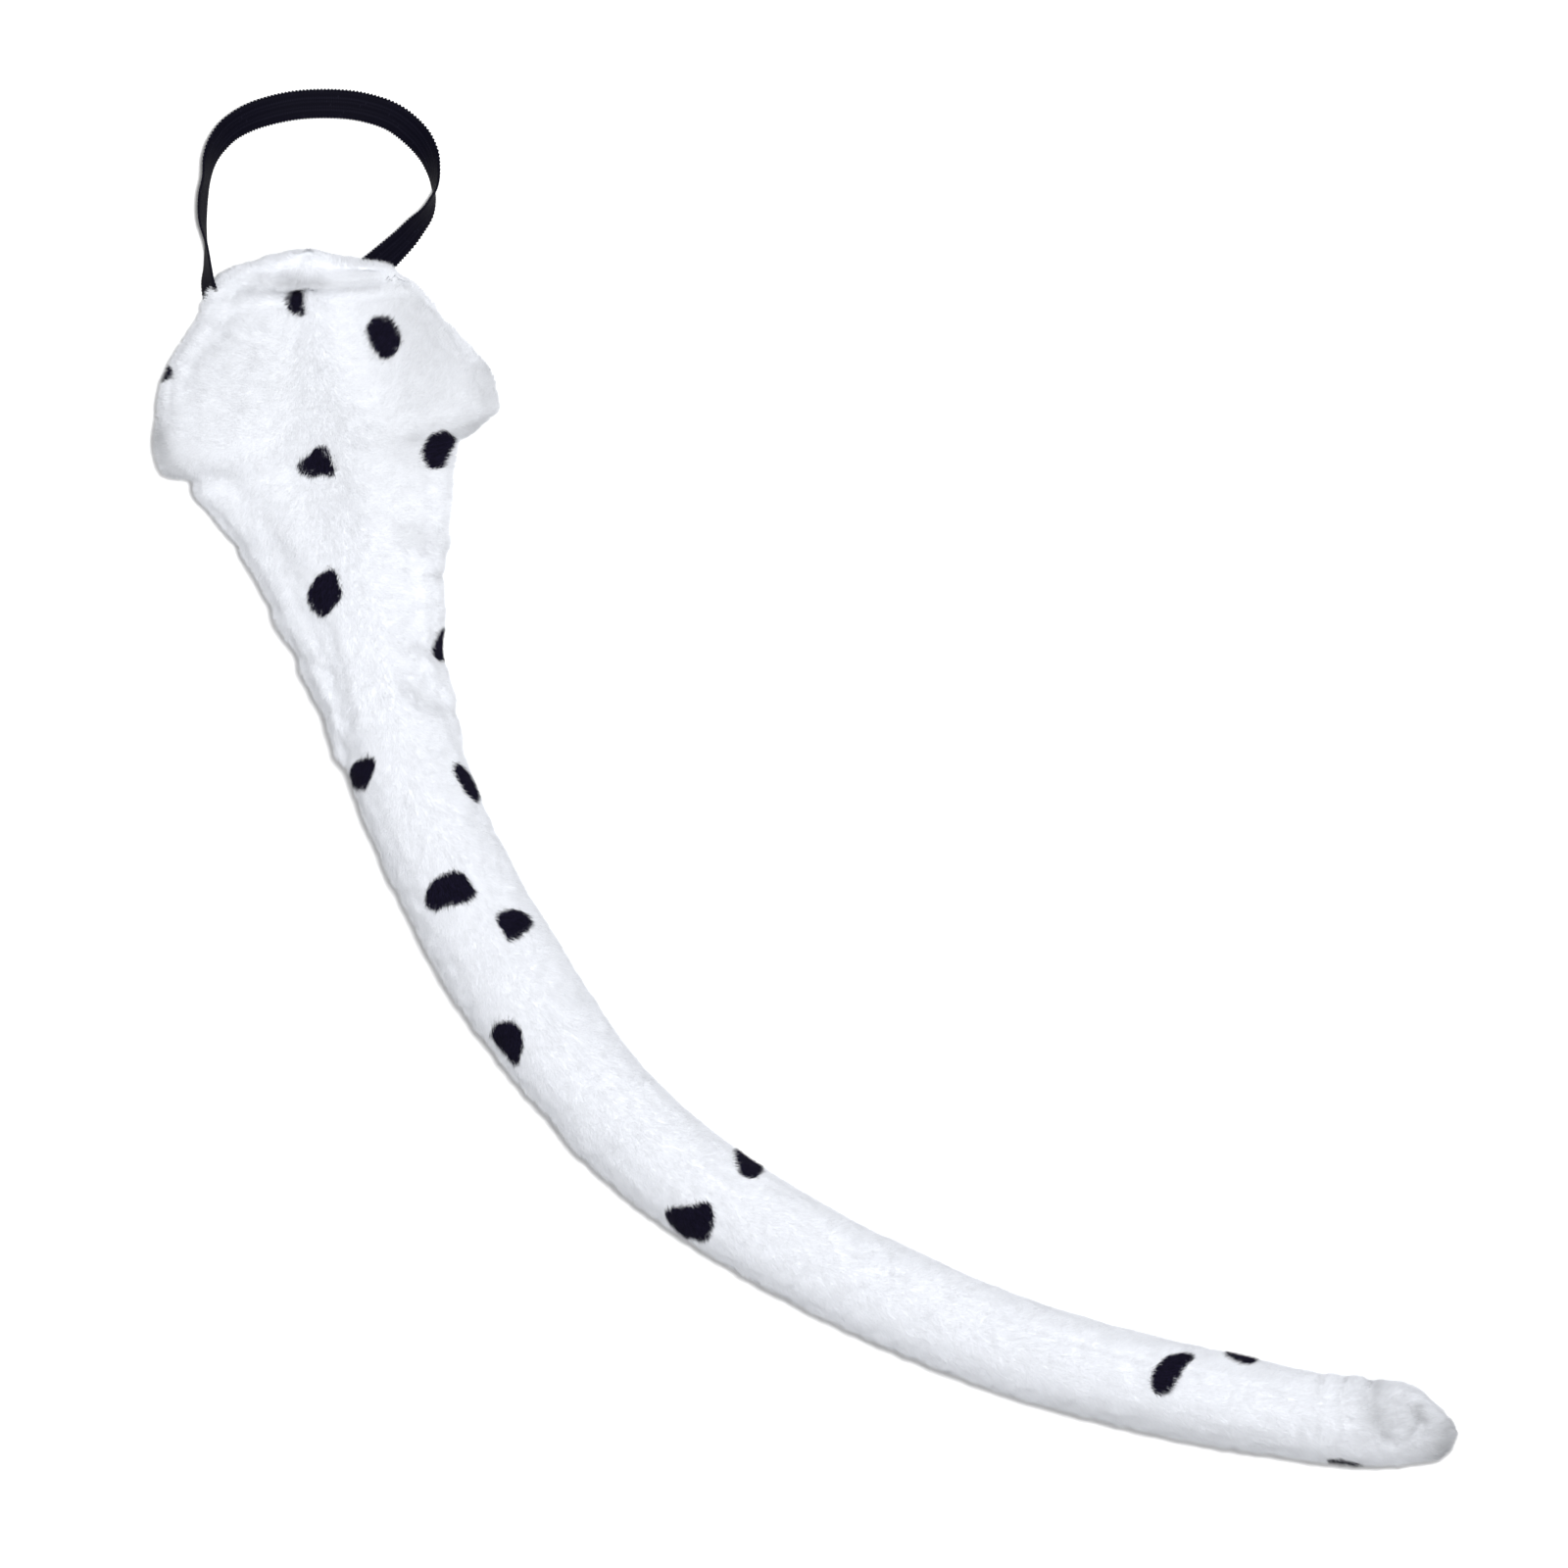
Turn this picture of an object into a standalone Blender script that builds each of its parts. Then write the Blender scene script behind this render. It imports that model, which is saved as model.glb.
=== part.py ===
"""A stuffed plush costume tail that hangs from a loop of elastic.

The tail lies on a flat surface, front up: a wide spade-shaped head whose
rolled top hem is a casing for the elastic, a long tube that bends to one
side, and a gathered tip. Two cloth panels meet in a front and a back seam
round one core of stuffing. Units are metres, +Z is up.
"""
from collections import namedtuple
from math import cos, pi, radians, sin

import bmesh
import bpy
import numpy as np
from mathutils import Vector

MM = 0.001

# Sizes of the tail
HEAD_LENGTH = 72.0 * MM
HEAD_WIDTH = 118.0 * MM
HEAD_HEIGHT = 27.0 * MM
TUBE_LENGTH = 557.0 * MM
TUBE_WIDTH = 43.0 * MM
TUBE_HEIGHT = 35.0 * MM
CLOTH_THICKNESS = 2.4 * MM
SETTLE = 1.6 * MM

# Sizes of the seams, folds and stuffing
SEAM_GAP = 0.3 * MM
SEAM_DIP = 0.7 * MM
FOLD_DEPTH = 3.0 * MM
STUFFING_GAP = 0.7 * MM
CASING_LENGTH = 12.0 * MM

# Sizes of the elastic loop
ELASTIC_WIDTH = 10.0 * MM
ELASTIC_THICKNESS = 1.2 * MM
LOOP_WIDTH = 78.0 * MM
LOOP_REACH = 49.0 * MM
CASING_CLEARANCE = 0.4 * MM
CASING_SLACK = 0.2 * MM
GROUND_GAP = 0.2 * MM

# How finely the loft is made
TUBE_RINGS = 50
TIP_RINGS = 18
TIP_SHARE = 0.10
ELASTIC_STEPS = 3

# Share of the way from the front seam to the back seam
ROUND_SHARES = (0.0, 0.03, 0.12, 0.23, 0.35, 0.48, 0.61, 0.74, 0.87, 1.0)

# Share of the head's length at which it has a ring
HEAD_RINGS = (0.0, 0.017, 0.05, 0.09, 0.13, 0.165, 0.2, 0.25, 0.32, 0.4, 0.48,
              0.56, 0.64, 0.72, 0.79, 0.85, 0.895, 0.93, 0.96, 0.98, 1.0)

# Share of the tail's whole length, and the way it points there in degrees
Heading = namedtuple("Heading", "along degrees")
HEADINGS = (
    Heading(0.00, -90.0),
    Heading(0.05, -84.0),
    Heading(0.11, -80.0),
    Heading(0.20, -76.0),
    Heading(0.27, -72.0),
    Heading(0.34, -65.0),
    Heading(0.40, -59.5),
    Heading(0.47, -51.0),
    Heading(0.54, -40.5),
    Heading(0.60, -32.0),
    Heading(0.67, -26.0),
    Heading(0.74, -21.0),
    Heading(0.80, -15.5),
    Heading(0.87, -11.5),
    Heading(0.94, -8.5),
    Heading(1.00, -4.0),
)

# A cross section: how far along its part of the tail, half widths to the left
# and right as shares of half the head and half the tube, the heights of its
# bottom and its top as shares of the head's and the tube's height, how square
# it is, and the degrees that its front seam has turned to the right
Section = namedtuple("Section", "along left_head left_tube right_head right_tube "
                                "head_low head_high tube_low tube_high square seam_degrees")
HEAD_SECTIONS = (
    Section(0.000, 0.14, 0.0, 0.10, 0.0, 0.23, 0.29, 0.00, 0.0, 2.4, 0.0),
    Section(0.017, 0.20, 0.0, 0.27, 0.0, 0.15, 0.37, 0.00, 0.0, 2.5, 0.0),
    Section(0.050, 0.29, 0.0, 0.44, 0.0, 0.07, 0.44, 0.00, 0.0, 2.7, 0.0),
    Section(0.100, 0.48, 0.0, 0.51, 0.0, 0.00, 0.48, 0.00, 0.0, 3.0, 0.0),
    Section(0.150, 0.57, 0.0, 0.56, 0.0, 0.00, 0.49, 0.00, 0.0, 3.0, 0.0),
    Section(0.210, 0.62, 0.0, 0.64, 0.0, 0.00, 0.51, 0.00, 0.0, 2.9, 0.0),
    Section(0.280, 0.66, 0.0, 0.70, 0.0, 0.00, 0.58, 0.00, 0.0, 2.7, 0.0),
    Section(0.420, 0.79, 0.0, 0.80, 0.0, 0.00, 0.73, 0.00, 0.0, 2.5, -1.0),
    Section(0.560, 0.90, 0.0, 0.89, 0.0, 0.00, 0.85, 0.00, 0.0, 2.4, -1.0),
    Section(0.700, 0.95, 0.0, 0.96, 0.0, 0.00, 0.93, 0.00, 0.0, 2.4, 0.0),
    Section(0.810, 0.98, 0.0, 0.97, 0.0, 0.00, 0.97, 0.00, 0.0, 2.4, 0.0),
    Section(0.900, 0.95, 0.0, 0.95, 0.0, 0.00, 0.99, 0.00, 0.0, 2.4, 0.0),
    Section(0.950, 0.88, 0.0, 0.91, 0.0, 0.00, 1.00, 0.00, 0.0, 2.4, 0.0),
    Section(0.980, 0.84, 0.0, 0.86, 0.0, 0.00, 1.00, 0.00, 0.0, 2.4, 0.0),
)
TUBE_SECTIONS = (
    Section(0.000, 0.79, 0.00, 0.80, 0.00, 0.00, 1.00, 0.00, 0.00, 2.4, 0.0),
    Section(0.012, 0.61, 0.47, 0.58, 0.47, 0.00, 0.85, 0.00, 0.13, 2.3, 1.0),
    Section(0.030, 0.46, 0.66, 0.44, 0.66, 0.00, 0.65, 0.00, 0.33, 2.2, 2.0),
    Section(0.060, 0.26, 0.85, 0.25, 0.85, 0.00, 0.35, 0.00, 0.62, 2.2, 4.0),
    Section(0.080, 0.16, 1.00, 0.13, 1.00, 0.00, 0.20, 0.00, 0.78, 2.2, 5.0),
    Section(0.110, 0.07, 1.03, 0.06, 1.03, 0.00, 0.08, 0.00, 0.90, 2.2, 6.0),
    Section(0.150, 0.00, 1.06, 0.00, 1.02, 0.00, 0.00, 0.00, 1.00, 2.2, 8.0),
    Section(0.200, 0.00, 0.99, 0.00, 0.96, 0.00, 0.00, 0.00, 1.00, 2.2, 12.0),
    Section(0.260, 0.00, 0.97, 0.00, 0.90, 0.00, 0.00, 0.00, 1.00, 2.2, 14.0),
    Section(0.340, 0.00, 0.97, 0.00, 0.88, 0.00, 0.00, 0.00, 0.98, 2.2, 14.0),
    Section(0.420, 0.00, 0.93, 0.00, 0.83, 0.00, 0.00, 0.00, 0.95, 2.2, 16.0),
    Section(0.500, 0.00, 0.87, 0.00, 0.80, 0.00, 0.00, 0.00, 0.92, 2.2, 20.0),
    Section(0.580, 0.00, 0.83, 0.00, 0.80, 0.00, 0.00, 0.00, 0.90, 2.2, 24.0),
    Section(0.660, 0.00, 0.81, 0.00, 0.79, 0.00, 0.00, 0.00, 0.88, 2.2, 26.0),
    Section(0.740, 0.00, 0.79, 0.00, 0.76, 0.00, 0.00, 0.00, 0.86, 2.2, 26.0),
    Section(0.820, 0.00, 0.77, 0.00, 0.76, 0.00, 0.00, 0.00, 0.84, 2.2, 24.0),
    Section(0.900, 0.00, 0.74, 0.00, 0.75, 0.00, 0.00, 0.00, 0.80, 2.2, 22.0),
    Section(0.935, 0.00, 0.72, 0.00, 0.74, 0.00, 0.00, 0.00, 0.77, 2.2, 20.0),
    Section(0.960, 0.00, 0.66, 0.00, 0.71, 0.00, 0.00, 0.00, 0.72, 2.2, 18.0),
    Section(0.980, 0.00, 0.53, 0.00, 0.57, 0.00, 0.00, 0.07, 0.64, 2.2, 15.0),
    Section(0.992, 0.00, 0.39, 0.00, 0.37, 0.00, 0.00, 0.17, 0.54, 2.2, 10.0),
    Section(1.000, 0.00, 0.21, 0.00, 0.19, 0.00, 0.00, 0.29, 0.42, 2.2, 0.0),
)
EDGE_SHARE = 0.44

# A fold or dent: share of the whole length, degrees round from the front
# (left is positive), depth as a share of FOLD_DEPTH, reach along as a share
# of the length, reach round in degrees, and its slant in degrees per length
Fold = namedtuple("Fold", "along round_degrees depth reach_along reach_round")
FOLDS = (
    Fold(0.019, 0.0, 0.90, 0.004, 34.0),
    Fold(0.118, 88.0, 0.75, 0.008, 30.0),
    Fold(0.114, -88.0, 0.85, 0.008, 32.0),
    Fold(0.186, -80.0, 0.55, 0.008, 26.0),
    Fold(0.232, -80.0, 0.60, 0.008, 30.0),
    Fold(0.252, -74.0, 0.65, 0.008, 30.0),
    Fold(0.214, 88.0, 0.35, 0.008, 26.0),
    Fold(0.246, 88.0, 0.30, 0.008, 26.0),
    Fold(0.921, 0.0, 0.26, 0.004, 70.0),
    Fold(0.935, 0.0, 0.26, 0.004, 75.0),
    Fold(0.952, 0.0, 0.36, 0.004, 80.0),
    Fold(0.968, 20.0, 0.40, 0.004, 60.0),
    Fold(0.980, 10.0, 0.40, 0.004, 45.0),
)

# How much of its full width the stuffing has below the casing
Filling = namedtuple("Filling", "below_casing width")
FILLINGS = (
    Filling(0.30, 0.50),
    Filling(0.60, 0.68),
    Filling(1.10, 0.84),
    Filling(1.80, 0.95),
    Filling(2.60, 1.00),
)

# The elastic's middle line: sideways as a share of LOOP_WIDTH, up as shares
# of LOOP_REACH and of CASING_LENGTH, its tilt in degrees from lying flat with
# its outer edge outwards, and its lift as a share of the casing's room
Route = namedtuple("Route", "side reach casing tilt lift")
ELASTIC_ROUTE = (
    Route(0.03, 0.00, -0.74, 180.0, 0.00),
    Route(-0.12, 0.00, -0.78, 180.0, 0.00),
    Route(-0.24, 0.00, -0.95, 165.0, 0.10),
    Route(-0.335, 0.00, -1.16, 140.0, 0.50),
    Route(-0.400, 0.00, -1.18, 119.0, 0.85),
    Route(-0.442, 0.00, -0.90, 106.0, 0.85),
    Route(-0.455, 0.00, -0.48, 97.0, 0.60),
    Route(-0.447, 0.04, 0.00, 90.0, 0.0),
    Route(-0.466, 0.20, 0.00, 76.0, 0.0),
    Route(-0.466, 0.36, 0.00, 72.0, 0.0),
    Route(-0.450, 0.50, 0.00, 74.0, 0.0),
    Route(-0.428, 0.63, 0.00, 62.0, 0.0),
    Route(-0.390, 0.75, 0.00, 48.0, 0.0),
    Route(-0.327, 0.86, 0.00, 34.0, 0.0),
    Route(-0.217, 0.95, 0.00, 20.0, 0.0),
    Route(-0.055, 0.99, 0.00, 9.0, 0.0),
    Route(0.110, 0.99, 0.00, 9.0, 0.0),
    Route(0.245, 0.97, 0.00, 10.0, 0.0),
    Route(0.375, 0.885, 0.00, 14.0, 0.0),
    Route(0.458, 0.79, 0.00, 24.0, 0.0),
    Route(0.511, 0.675, 0.00, 43.0, 0.0),
    Route(0.540, 0.55, 0.00, 62.0, 0.0),
    Route(0.549, 0.44, 0.00, 80.0, 0.0),
    Route(0.547, 0.35, 0.00, 97.0, 0.0),
    Route(0.522, 0.25, 0.00, 118.0, 0.0),
    Route(0.480, 0.16, 0.00, 133.0, 0.0),
    Route(0.425, 0.07, 0.00, 143.0, 0.1),
    Route(0.365, 0.00, -0.08, 148.0, 0.30),
    Route(0.302, 0.00, -0.42, 156.0, 0.35),
    Route(0.238, 0.00, -0.72, 168.0, 0.15),
    Route(0.148, 0.00, -0.83, 178.0, 0.00),
)


def smooth_table(places, values, x):
    """Read a table along a smooth line that never overshoots its rows."""
    places = np.asarray(places, float)
    values = np.asarray(values, float)
    steps = np.diff(places)
    slopes = np.diff(values) / steps
    ahead = np.concatenate((slopes, slopes[-1:]))
    behind = np.concatenate((slopes[:1], slopes))
    same_way = ahead * behind > 0.0
    total = np.where(same_way, ahead + behind, 1.0)
    tangents = np.where(same_way, 2.0 * ahead * behind / total, 0.0)
    row = int(np.clip(np.searchsorted(places, x) - 1, 0, len(steps) - 1))
    t = (x - places[row]) / steps[row]
    return float(values[row] * (1.0 + 2.0 * t) * (1.0 - t) ** 2
                 + values[row + 1] * t * t * (3.0 - 2.0 * t)
                 + steps[row] * t * (1.0 - t) * ((1.0 - t) * tangents[row] - t * tangents[row + 1]))


def tail_length():
    """Length of the tail's middle line."""
    return HEAD_LENGTH + TUBE_LENGTH


def section_at(distance):
    """The cross section at a distance along the tail."""
    rows = [(row.along * HEAD_LENGTH, row) for row in HEAD_SECTIONS]
    rows += [(HEAD_LENGTH + row.along * TUBE_LENGTH, row) for row in TUBE_SECTIONS]
    places = [place for place, _ in rows]
    columns = list(zip(*[row for _, row in rows]))
    return Section(*[smooth_table(places, column, distance) for column in columns])


def ring_distances():
    """Where the loft has its rings, closer together on the head and the tip."""
    head = [share * HEAD_LENGTH for share in HEAD_RINGS]
    plain = (1.0 - TIP_SHARE) * np.linspace(0.0, 1.0, TUBE_RINGS + 1)[1:] ** 1.15
    tip = 1.0 - TIP_SHARE * np.linspace(1.0, 0.0, TIP_RINGS + 1)[1:] ** 1.15
    return head + [HEAD_LENGTH + share * TUBE_LENGTH for share in (*plain, *tip)]


def middle_line(distances):
    """Points and directions of the middle line, walked from the head's top."""
    points = []
    ways = []
    point = np.zeros(2)
    walked = 0.0
    for distance in distances:
        steps = max(1, int(round((distance - walked) / (2.0 * MM))))
        for step in range(steps):
            middle = walked + (distance - walked) * (step + 0.5) / steps
            degrees = smooth_table([row.along for row in HEADINGS],
                                   [row.degrees for row in HEADINGS], middle / tail_length())
            way = np.array([cos(radians(degrees)), sin(radians(degrees))])
            point = point + way * (distance - walked) / steps
        walked = distance
        degrees = smooth_table([row.along for row in HEADINGS],
                               [row.degrees for row in HEADINGS], distance / tail_length())
        points.append(point)
        ways.append(np.array([cos(radians(degrees)), sin(radians(degrees))]))
    return points, ways


def round_angles(seam_degrees):
    """Angles from the front seam down the left side and up the right side."""
    seam = radians(-seam_degrees)
    left = [seam + (pi - seam) * share for share in ROUND_SHARES]
    right = [seam - (pi + seam) * share for share in ROUND_SHARES]
    return left + right[-2:0:-1]


def section_point(section, angle):
    """Sideways place (left is positive) and height of a point on a section."""
    left_side = sin(angle) >= 0.0
    across = abs(sin(angle)) ** (2.0 / section.square)
    upright = abs(cos(angle)) ** (2.0 / section.square)
    if left_side:
        half_width = (section.left_head * HEAD_WIDTH + section.left_tube * TUBE_WIDTH) / 2.0
    else:
        half_width = -(section.right_head * HEAD_WIDTH + section.right_tube * TUBE_WIDTH) / 2.0
    low = section.head_low * HEAD_HEIGHT + section.tube_low * TUBE_HEIGHT - SETTLE
    high = section.head_high * HEAD_HEIGHT + section.tube_high * TUBE_HEIGHT
    edge = low + EDGE_SHARE * (high - low)
    if cos(angle) >= 0.0:
        z = edge + (high - edge) * upright
    else:
        z = edge - (edge - low) * upright
    return half_width * across, z


def fold_depth(along, angle):
    """How deep the folds press the cloth in at one place."""
    depth = 0.0
    for fold in FOLDS:
        near = (along - fold.along) / fold.reach_along
        side = (np.degrees(angle) - fold.round_degrees) / fold.reach_round
        depth += fold.depth * FOLD_DEPTH * np.exp(-near * near - side * side)
    return depth


def body_grid():
    """Points, outward directions and fold depths, ring by ring."""
    distances = ring_distances()
    points, ways = middle_line(distances)
    rings = []
    depths = []
    for distance, point, way in zip(distances, points, ways):
        section = section_at(distance)
        left = np.array([way[1], -way[0]])
        ring = []
        for angle in round_angles(section.seam_degrees):
            sideways, z = section_point(section, angle)
            place = point + left * sideways
            ring.append((place[0], place[1], z))
        rings.append(ring)
        depths.append([fold_depth(distance / tail_length(), angle)
                       for angle in round_angles(section.seam_degrees)])
    grid = np.array(rings)
    along = np.gradient(grid, axis=0)
    around = np.roll(grid, -1, axis=1) - np.roll(grid, 1, axis=1)
    outward = np.cross(around, along)
    outward /= np.linalg.norm(outward, axis=2, keepdims=True)
    for end, sign in ((0, -1.0), (-1, 1.0)):
        forward = np.array([*ways[end], 0.0]) * sign
        blend = outward[end] * 0.35 + forward
        outward[end] = blend / np.linalg.norm(blend, axis=1, keepdims=True)
    grid[:, :, 2] = np.maximum(grid[:, :, 2], 0.0)
    flat = grid[:, :, 2] <= 0.0
    outward[flat] = (0.0, 0.0, -1.0)
    return distances, grid, outward, np.array(depths)


def inset(grid, outward, depths, inward):
    """The surface that lies a constant distance inside the outer one."""
    return grid - outward * (depths + inward)[:, :, None]


def add_object(name, mesh, collection):
    """Put a mesh in the model as one named part."""
    part = bpy.data.objects.new(name, mesh)
    collection.objects.link(part)
    return part


def closed_mesh(name, work):
    """Make the mesh of one closed body with its faces pointing out."""
    bmesh.ops.triangulate(work, faces=work.faces[:], ngon_method="BEAUTY")
    bmesh.ops.recalc_face_normals(work, faces=work.faces[:])
    if work.calc_volume(signed=True) < 0.0:
        bmesh.ops.reverse_faces(work, faces=work.faces[:])
    mesh = bpy.data.meshes.new(name)
    work.to_mesh(mesh)
    work.free()
    return mesh


def panel_mesh(name, outer, inner, side):
    """One cloth panel: outer and inner skins, rims along the seams, closed ends."""
    count = len(ROUND_SHARES)
    total = outer.shape[1]
    if side > 0:
        columns = list(range(count))
    else:
        columns = [0] + list(range(total - 1, count - 2, -1))
    work = bmesh.new()
    skins = []
    for skin in (outer, inner):
        rows = []
        for ring in skin:
            row = [Vector(ring[column]) for column in columns]
            apart = (row[1] - row[0])
            apart.z = 0.0
            row[0] = row[0] + apart.normalized() * SEAM_GAP / 2.0
            apart = (row[-2] - row[-1])
            apart.z = 0.0
            row[-1] = row[-1] + apart.normalized() * SEAM_GAP / 2.0
            rows.append([work.verts.new(corner) for corner in row])
        skins.append(rows)
    for rows in skins:
        for near, far in zip(rows, rows[1:]):
            for step in range(count - 1):
                work.faces.new((near[step], near[step + 1], far[step + 1], far[step]))
        work.faces.new(rows[0])
        work.faces.new(rows[-1])
    outside, inside = skins
    for column in (0, -1):
        for row in range(len(outside) - 1):
            work.faces.new((outside[row][column], outside[row + 1][column],
                            inside[row + 1][column], inside[row][column]))
    for row in (0, -1):
        work.faces.new((outside[row][0], inside[row][0], inside[row][-1], outside[row][-1]))
    return closed_mesh(name, work)


def closed_loft(name, rings, joined=False):
    """Skin a list of closed rings, with flat ends unless the last meets the first."""
    work = bmesh.new()
    rows = [[work.verts.new(Vector(corner)) for corner in ring] for ring in rings]
    pairs = list(zip(rows, rows[1:]))
    if joined:
        pairs.append((rows[-1], rows[0]))
    for near, far in pairs:
        for step in range(len(near)):
            after = (step + 1) % len(near)
            work.faces.new((near[step], near[after], far[after], far[step]))
    if not joined:
        work.faces.new(rows[0])
        work.faces.new(rows[-1])
    return closed_mesh(name, work)


def stuffing_rings(distances, core):
    """The core's rings below the casing, narrow at the top and every second one."""
    rings = []
    for number, distance in enumerate(distances):
        below = (distance - CASING_LENGTH) / CASING_LENGTH
        last = number == len(distances) - 1
        if below < FILLINGS[0].below_casing or (number % 2 and not last):
            continue
        width = smooth_table([row.below_casing for row in FILLINGS],
                             [row.width for row in FILLINGS],
                             min(below, FILLINGS[-1].below_casing))
        ring = core[number]
        middle = ring.mean(axis=0)
        sideways = (ring - middle) * np.array([width, width, 1.0])
        rings.append(middle + sideways)
    return rings


def elastic_rings(clearance):
    """Rectangular rings along the closed route, grown by a clearance."""
    floor_height = CLOTH_THICKNESS + CASING_CLEARANCE + CASING_SLACK + ELASTIC_THICKNESS / 2.0
    room = HEAD_SECTIONS[3].head_high * HEAD_HEIGHT / 2.0 - floor_height
    rows = []
    for row in ELASTIC_ROUTE:
        flatness = abs(cos(radians(row.tilt)))
        rise = abs(sin(radians(row.tilt)))
        z = GROUND_GAP + rise * ELASTIC_WIDTH / 2.0 + flatness * ELASTIC_THICKNESS / 2.0
        if row.casing < 0.0:
            z = max(floor_height + row.lift * room, z)
        x = row.side * LOOP_WIDTH
        y = row.reach * LOOP_REACH + row.casing * CASING_LENGTH
        rows.append((x, y, z, radians(row.tilt)))
    rows = np.array(rows)
    count = len(rows)
    path = []
    for number in range(count):
        before, here, after, beyond = (rows[(number + shift) % count] for shift in (-1, 0, 1, 2))
        for step in range(ELASTIC_STEPS):
            t = step / ELASTIC_STEPS
            path.append(0.5 * (2.0 * here + (after - before) * t
                               + (2.0 * before - 5.0 * here + 4.0 * after - beyond) * t * t
                               + (3.0 * here - before - 3.0 * after + beyond) * t ** 3))
    path = np.array(path)
    half_width = ELASTIC_WIDTH / 2.0 + clearance
    half_thick = ELASTIC_THICKNESS / 2.0 + clearance
    rings = []
    for number, (x, y, z, tilt) in enumerate(path):
        tangent = path[(number + 1) % len(path)][:3] - path[number - 1][:3]
        tangent /= np.linalg.norm(tangent)
        outside = np.array([-tangent[1], tangent[0], 0.0])
        outside /= np.linalg.norm(outside)
        above = np.cross(tangent, outside)
        above *= np.sign(above[2])
        wide = outside * cos(tilt) + above * sin(tilt)
        thick = np.cross(tangent, wide)
        corners = ((1, 1), (1, -1), (-1, -1), (-1, 1))
        rings.append([np.array([x, y, z]) + wide * half_width * a + thick * half_thick * b
                      for a, b in corners])
    return rings


def make_material(name, colour, roughness):
    """A plain finish for one part."""
    finish = bpy.data.materials.new(name)
    finish.use_nodes = True
    shader = finish.node_tree.nodes["Principled BSDF"]
    shader.inputs["Base Color"].default_value = (*colour, 1.0)
    shader.inputs["Roughness"].default_value = roughness
    shader.inputs["Metallic"].default_value = 0.0
    finish.diffuse_color = (*colour, 1.0)
    return finish


def cut_casing_mouths(panel, cutter):
    """Open the panel where the elastic runs through its wall."""
    cut = panel.modifiers.new("casing mouth", "BOOLEAN")
    cut.operation = "DIFFERENCE"
    cut.solver = "EXACT"
    cut.object = cutter


def centre_on_origin(parts):
    """Stand the parts on the origin, under the middle of their box."""
    corners = np.array([tuple(vertex.co) for part in parts for vertex in part.data.vertices])
    middle = (corners.min(axis=0) + corners.max(axis=0)) / 2.0
    frame = bpy.data.objects.new("tail_frame", None)
    frame.location = (-middle[0], -middle[1], -corners[:, 2].min())
    return frame


def main():
    """Build the tail."""
    for old in list(bpy.data.objects):
        bpy.data.objects.remove(old, do_unlink=True)
    tail = bpy.data.collections.new("costume_tail")
    cutters = bpy.data.collections.new("cutters")
    for collection in (tail, cutters):
        bpy.context.scene.collection.children.link(collection)

    distances, grid, outward, depths = body_grid()
    seam_dips = np.zeros(grid.shape[:2])
    seam_dips[:, 0] = SEAM_DIP
    outer = inset(grid, outward, depths + seam_dips, 0.0)
    inner = inset(grid, outward, depths, CLOTH_THICKNESS)
    deepest = np.max([np.roll(depths, shift, axis=0) for shift in range(-2, 3)], axis=0)
    core = inset(grid, outward, deepest, CLOTH_THICKNESS + STUFFING_GAP)

    left_panel = add_object("left_panel", panel_mesh("left_panel", outer, inner, 1), tail)
    right_panel = add_object("right_panel", panel_mesh("right_panel", outer, inner, -1), tail)
    stuffing = add_object(
        "stuffing", closed_loft("stuffing", stuffing_rings(distances, core)), tail)
    elastic = add_object(
        "elastic_loop", closed_loft("elastic_loop", elastic_rings(0.0), joined=True), tail)
    cutter = add_object(
        "casing_cutter",
        closed_loft("casing_cutter", elastic_rings(CASING_CLEARANCE), joined=True), cutters)
    cutter.hide_render = True
    cutter.display_type = "WIRE"

    for panel in (left_panel, right_panel, stuffing):
        cut_casing_mouths(panel, cutter)

    finishes = {
        "left_panel": make_material("white_plush", (0.87, 0.88, 0.92), 0.95),
        "right_panel": make_material("white_plush_right", (0.85, 0.87, 0.91), 0.95),
        "stuffing": make_material("white_fibre", (0.90, 0.90, 0.88), 1.0),
        "elastic_loop": make_material("black_elastic", (0.008, 0.007, 0.015), 0.75),
    }
    parts = (left_panel, right_panel, stuffing, elastic)
    frame = centre_on_origin(parts)
    tail.objects.link(frame)
    for part in parts:
        part.data.materials.append(finishes[part.name])
        part.data.shade_smooth()
        part.data.set_sharp_from_angle(angle=radians(40.0))
        part.parent = frame
    cutter.parent = frame


main()
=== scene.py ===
"""Looks of a stuffed plush costume tail that hangs from a loop of elastic.

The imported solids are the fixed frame. The skin is measured from them ring by
ring, pressed with the seam, the casing's stitching and the folds, and covered
with short pile, white with near-black spots. The elastic is a woven band.
"""
import logging
from dataclasses import dataclass, field
from enum import Enum
from math import cos, pi, radians, sin

import bmesh
import bpy
import numpy as np
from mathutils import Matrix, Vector, noise
from mathutils.bvhtree import BVHTree


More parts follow.
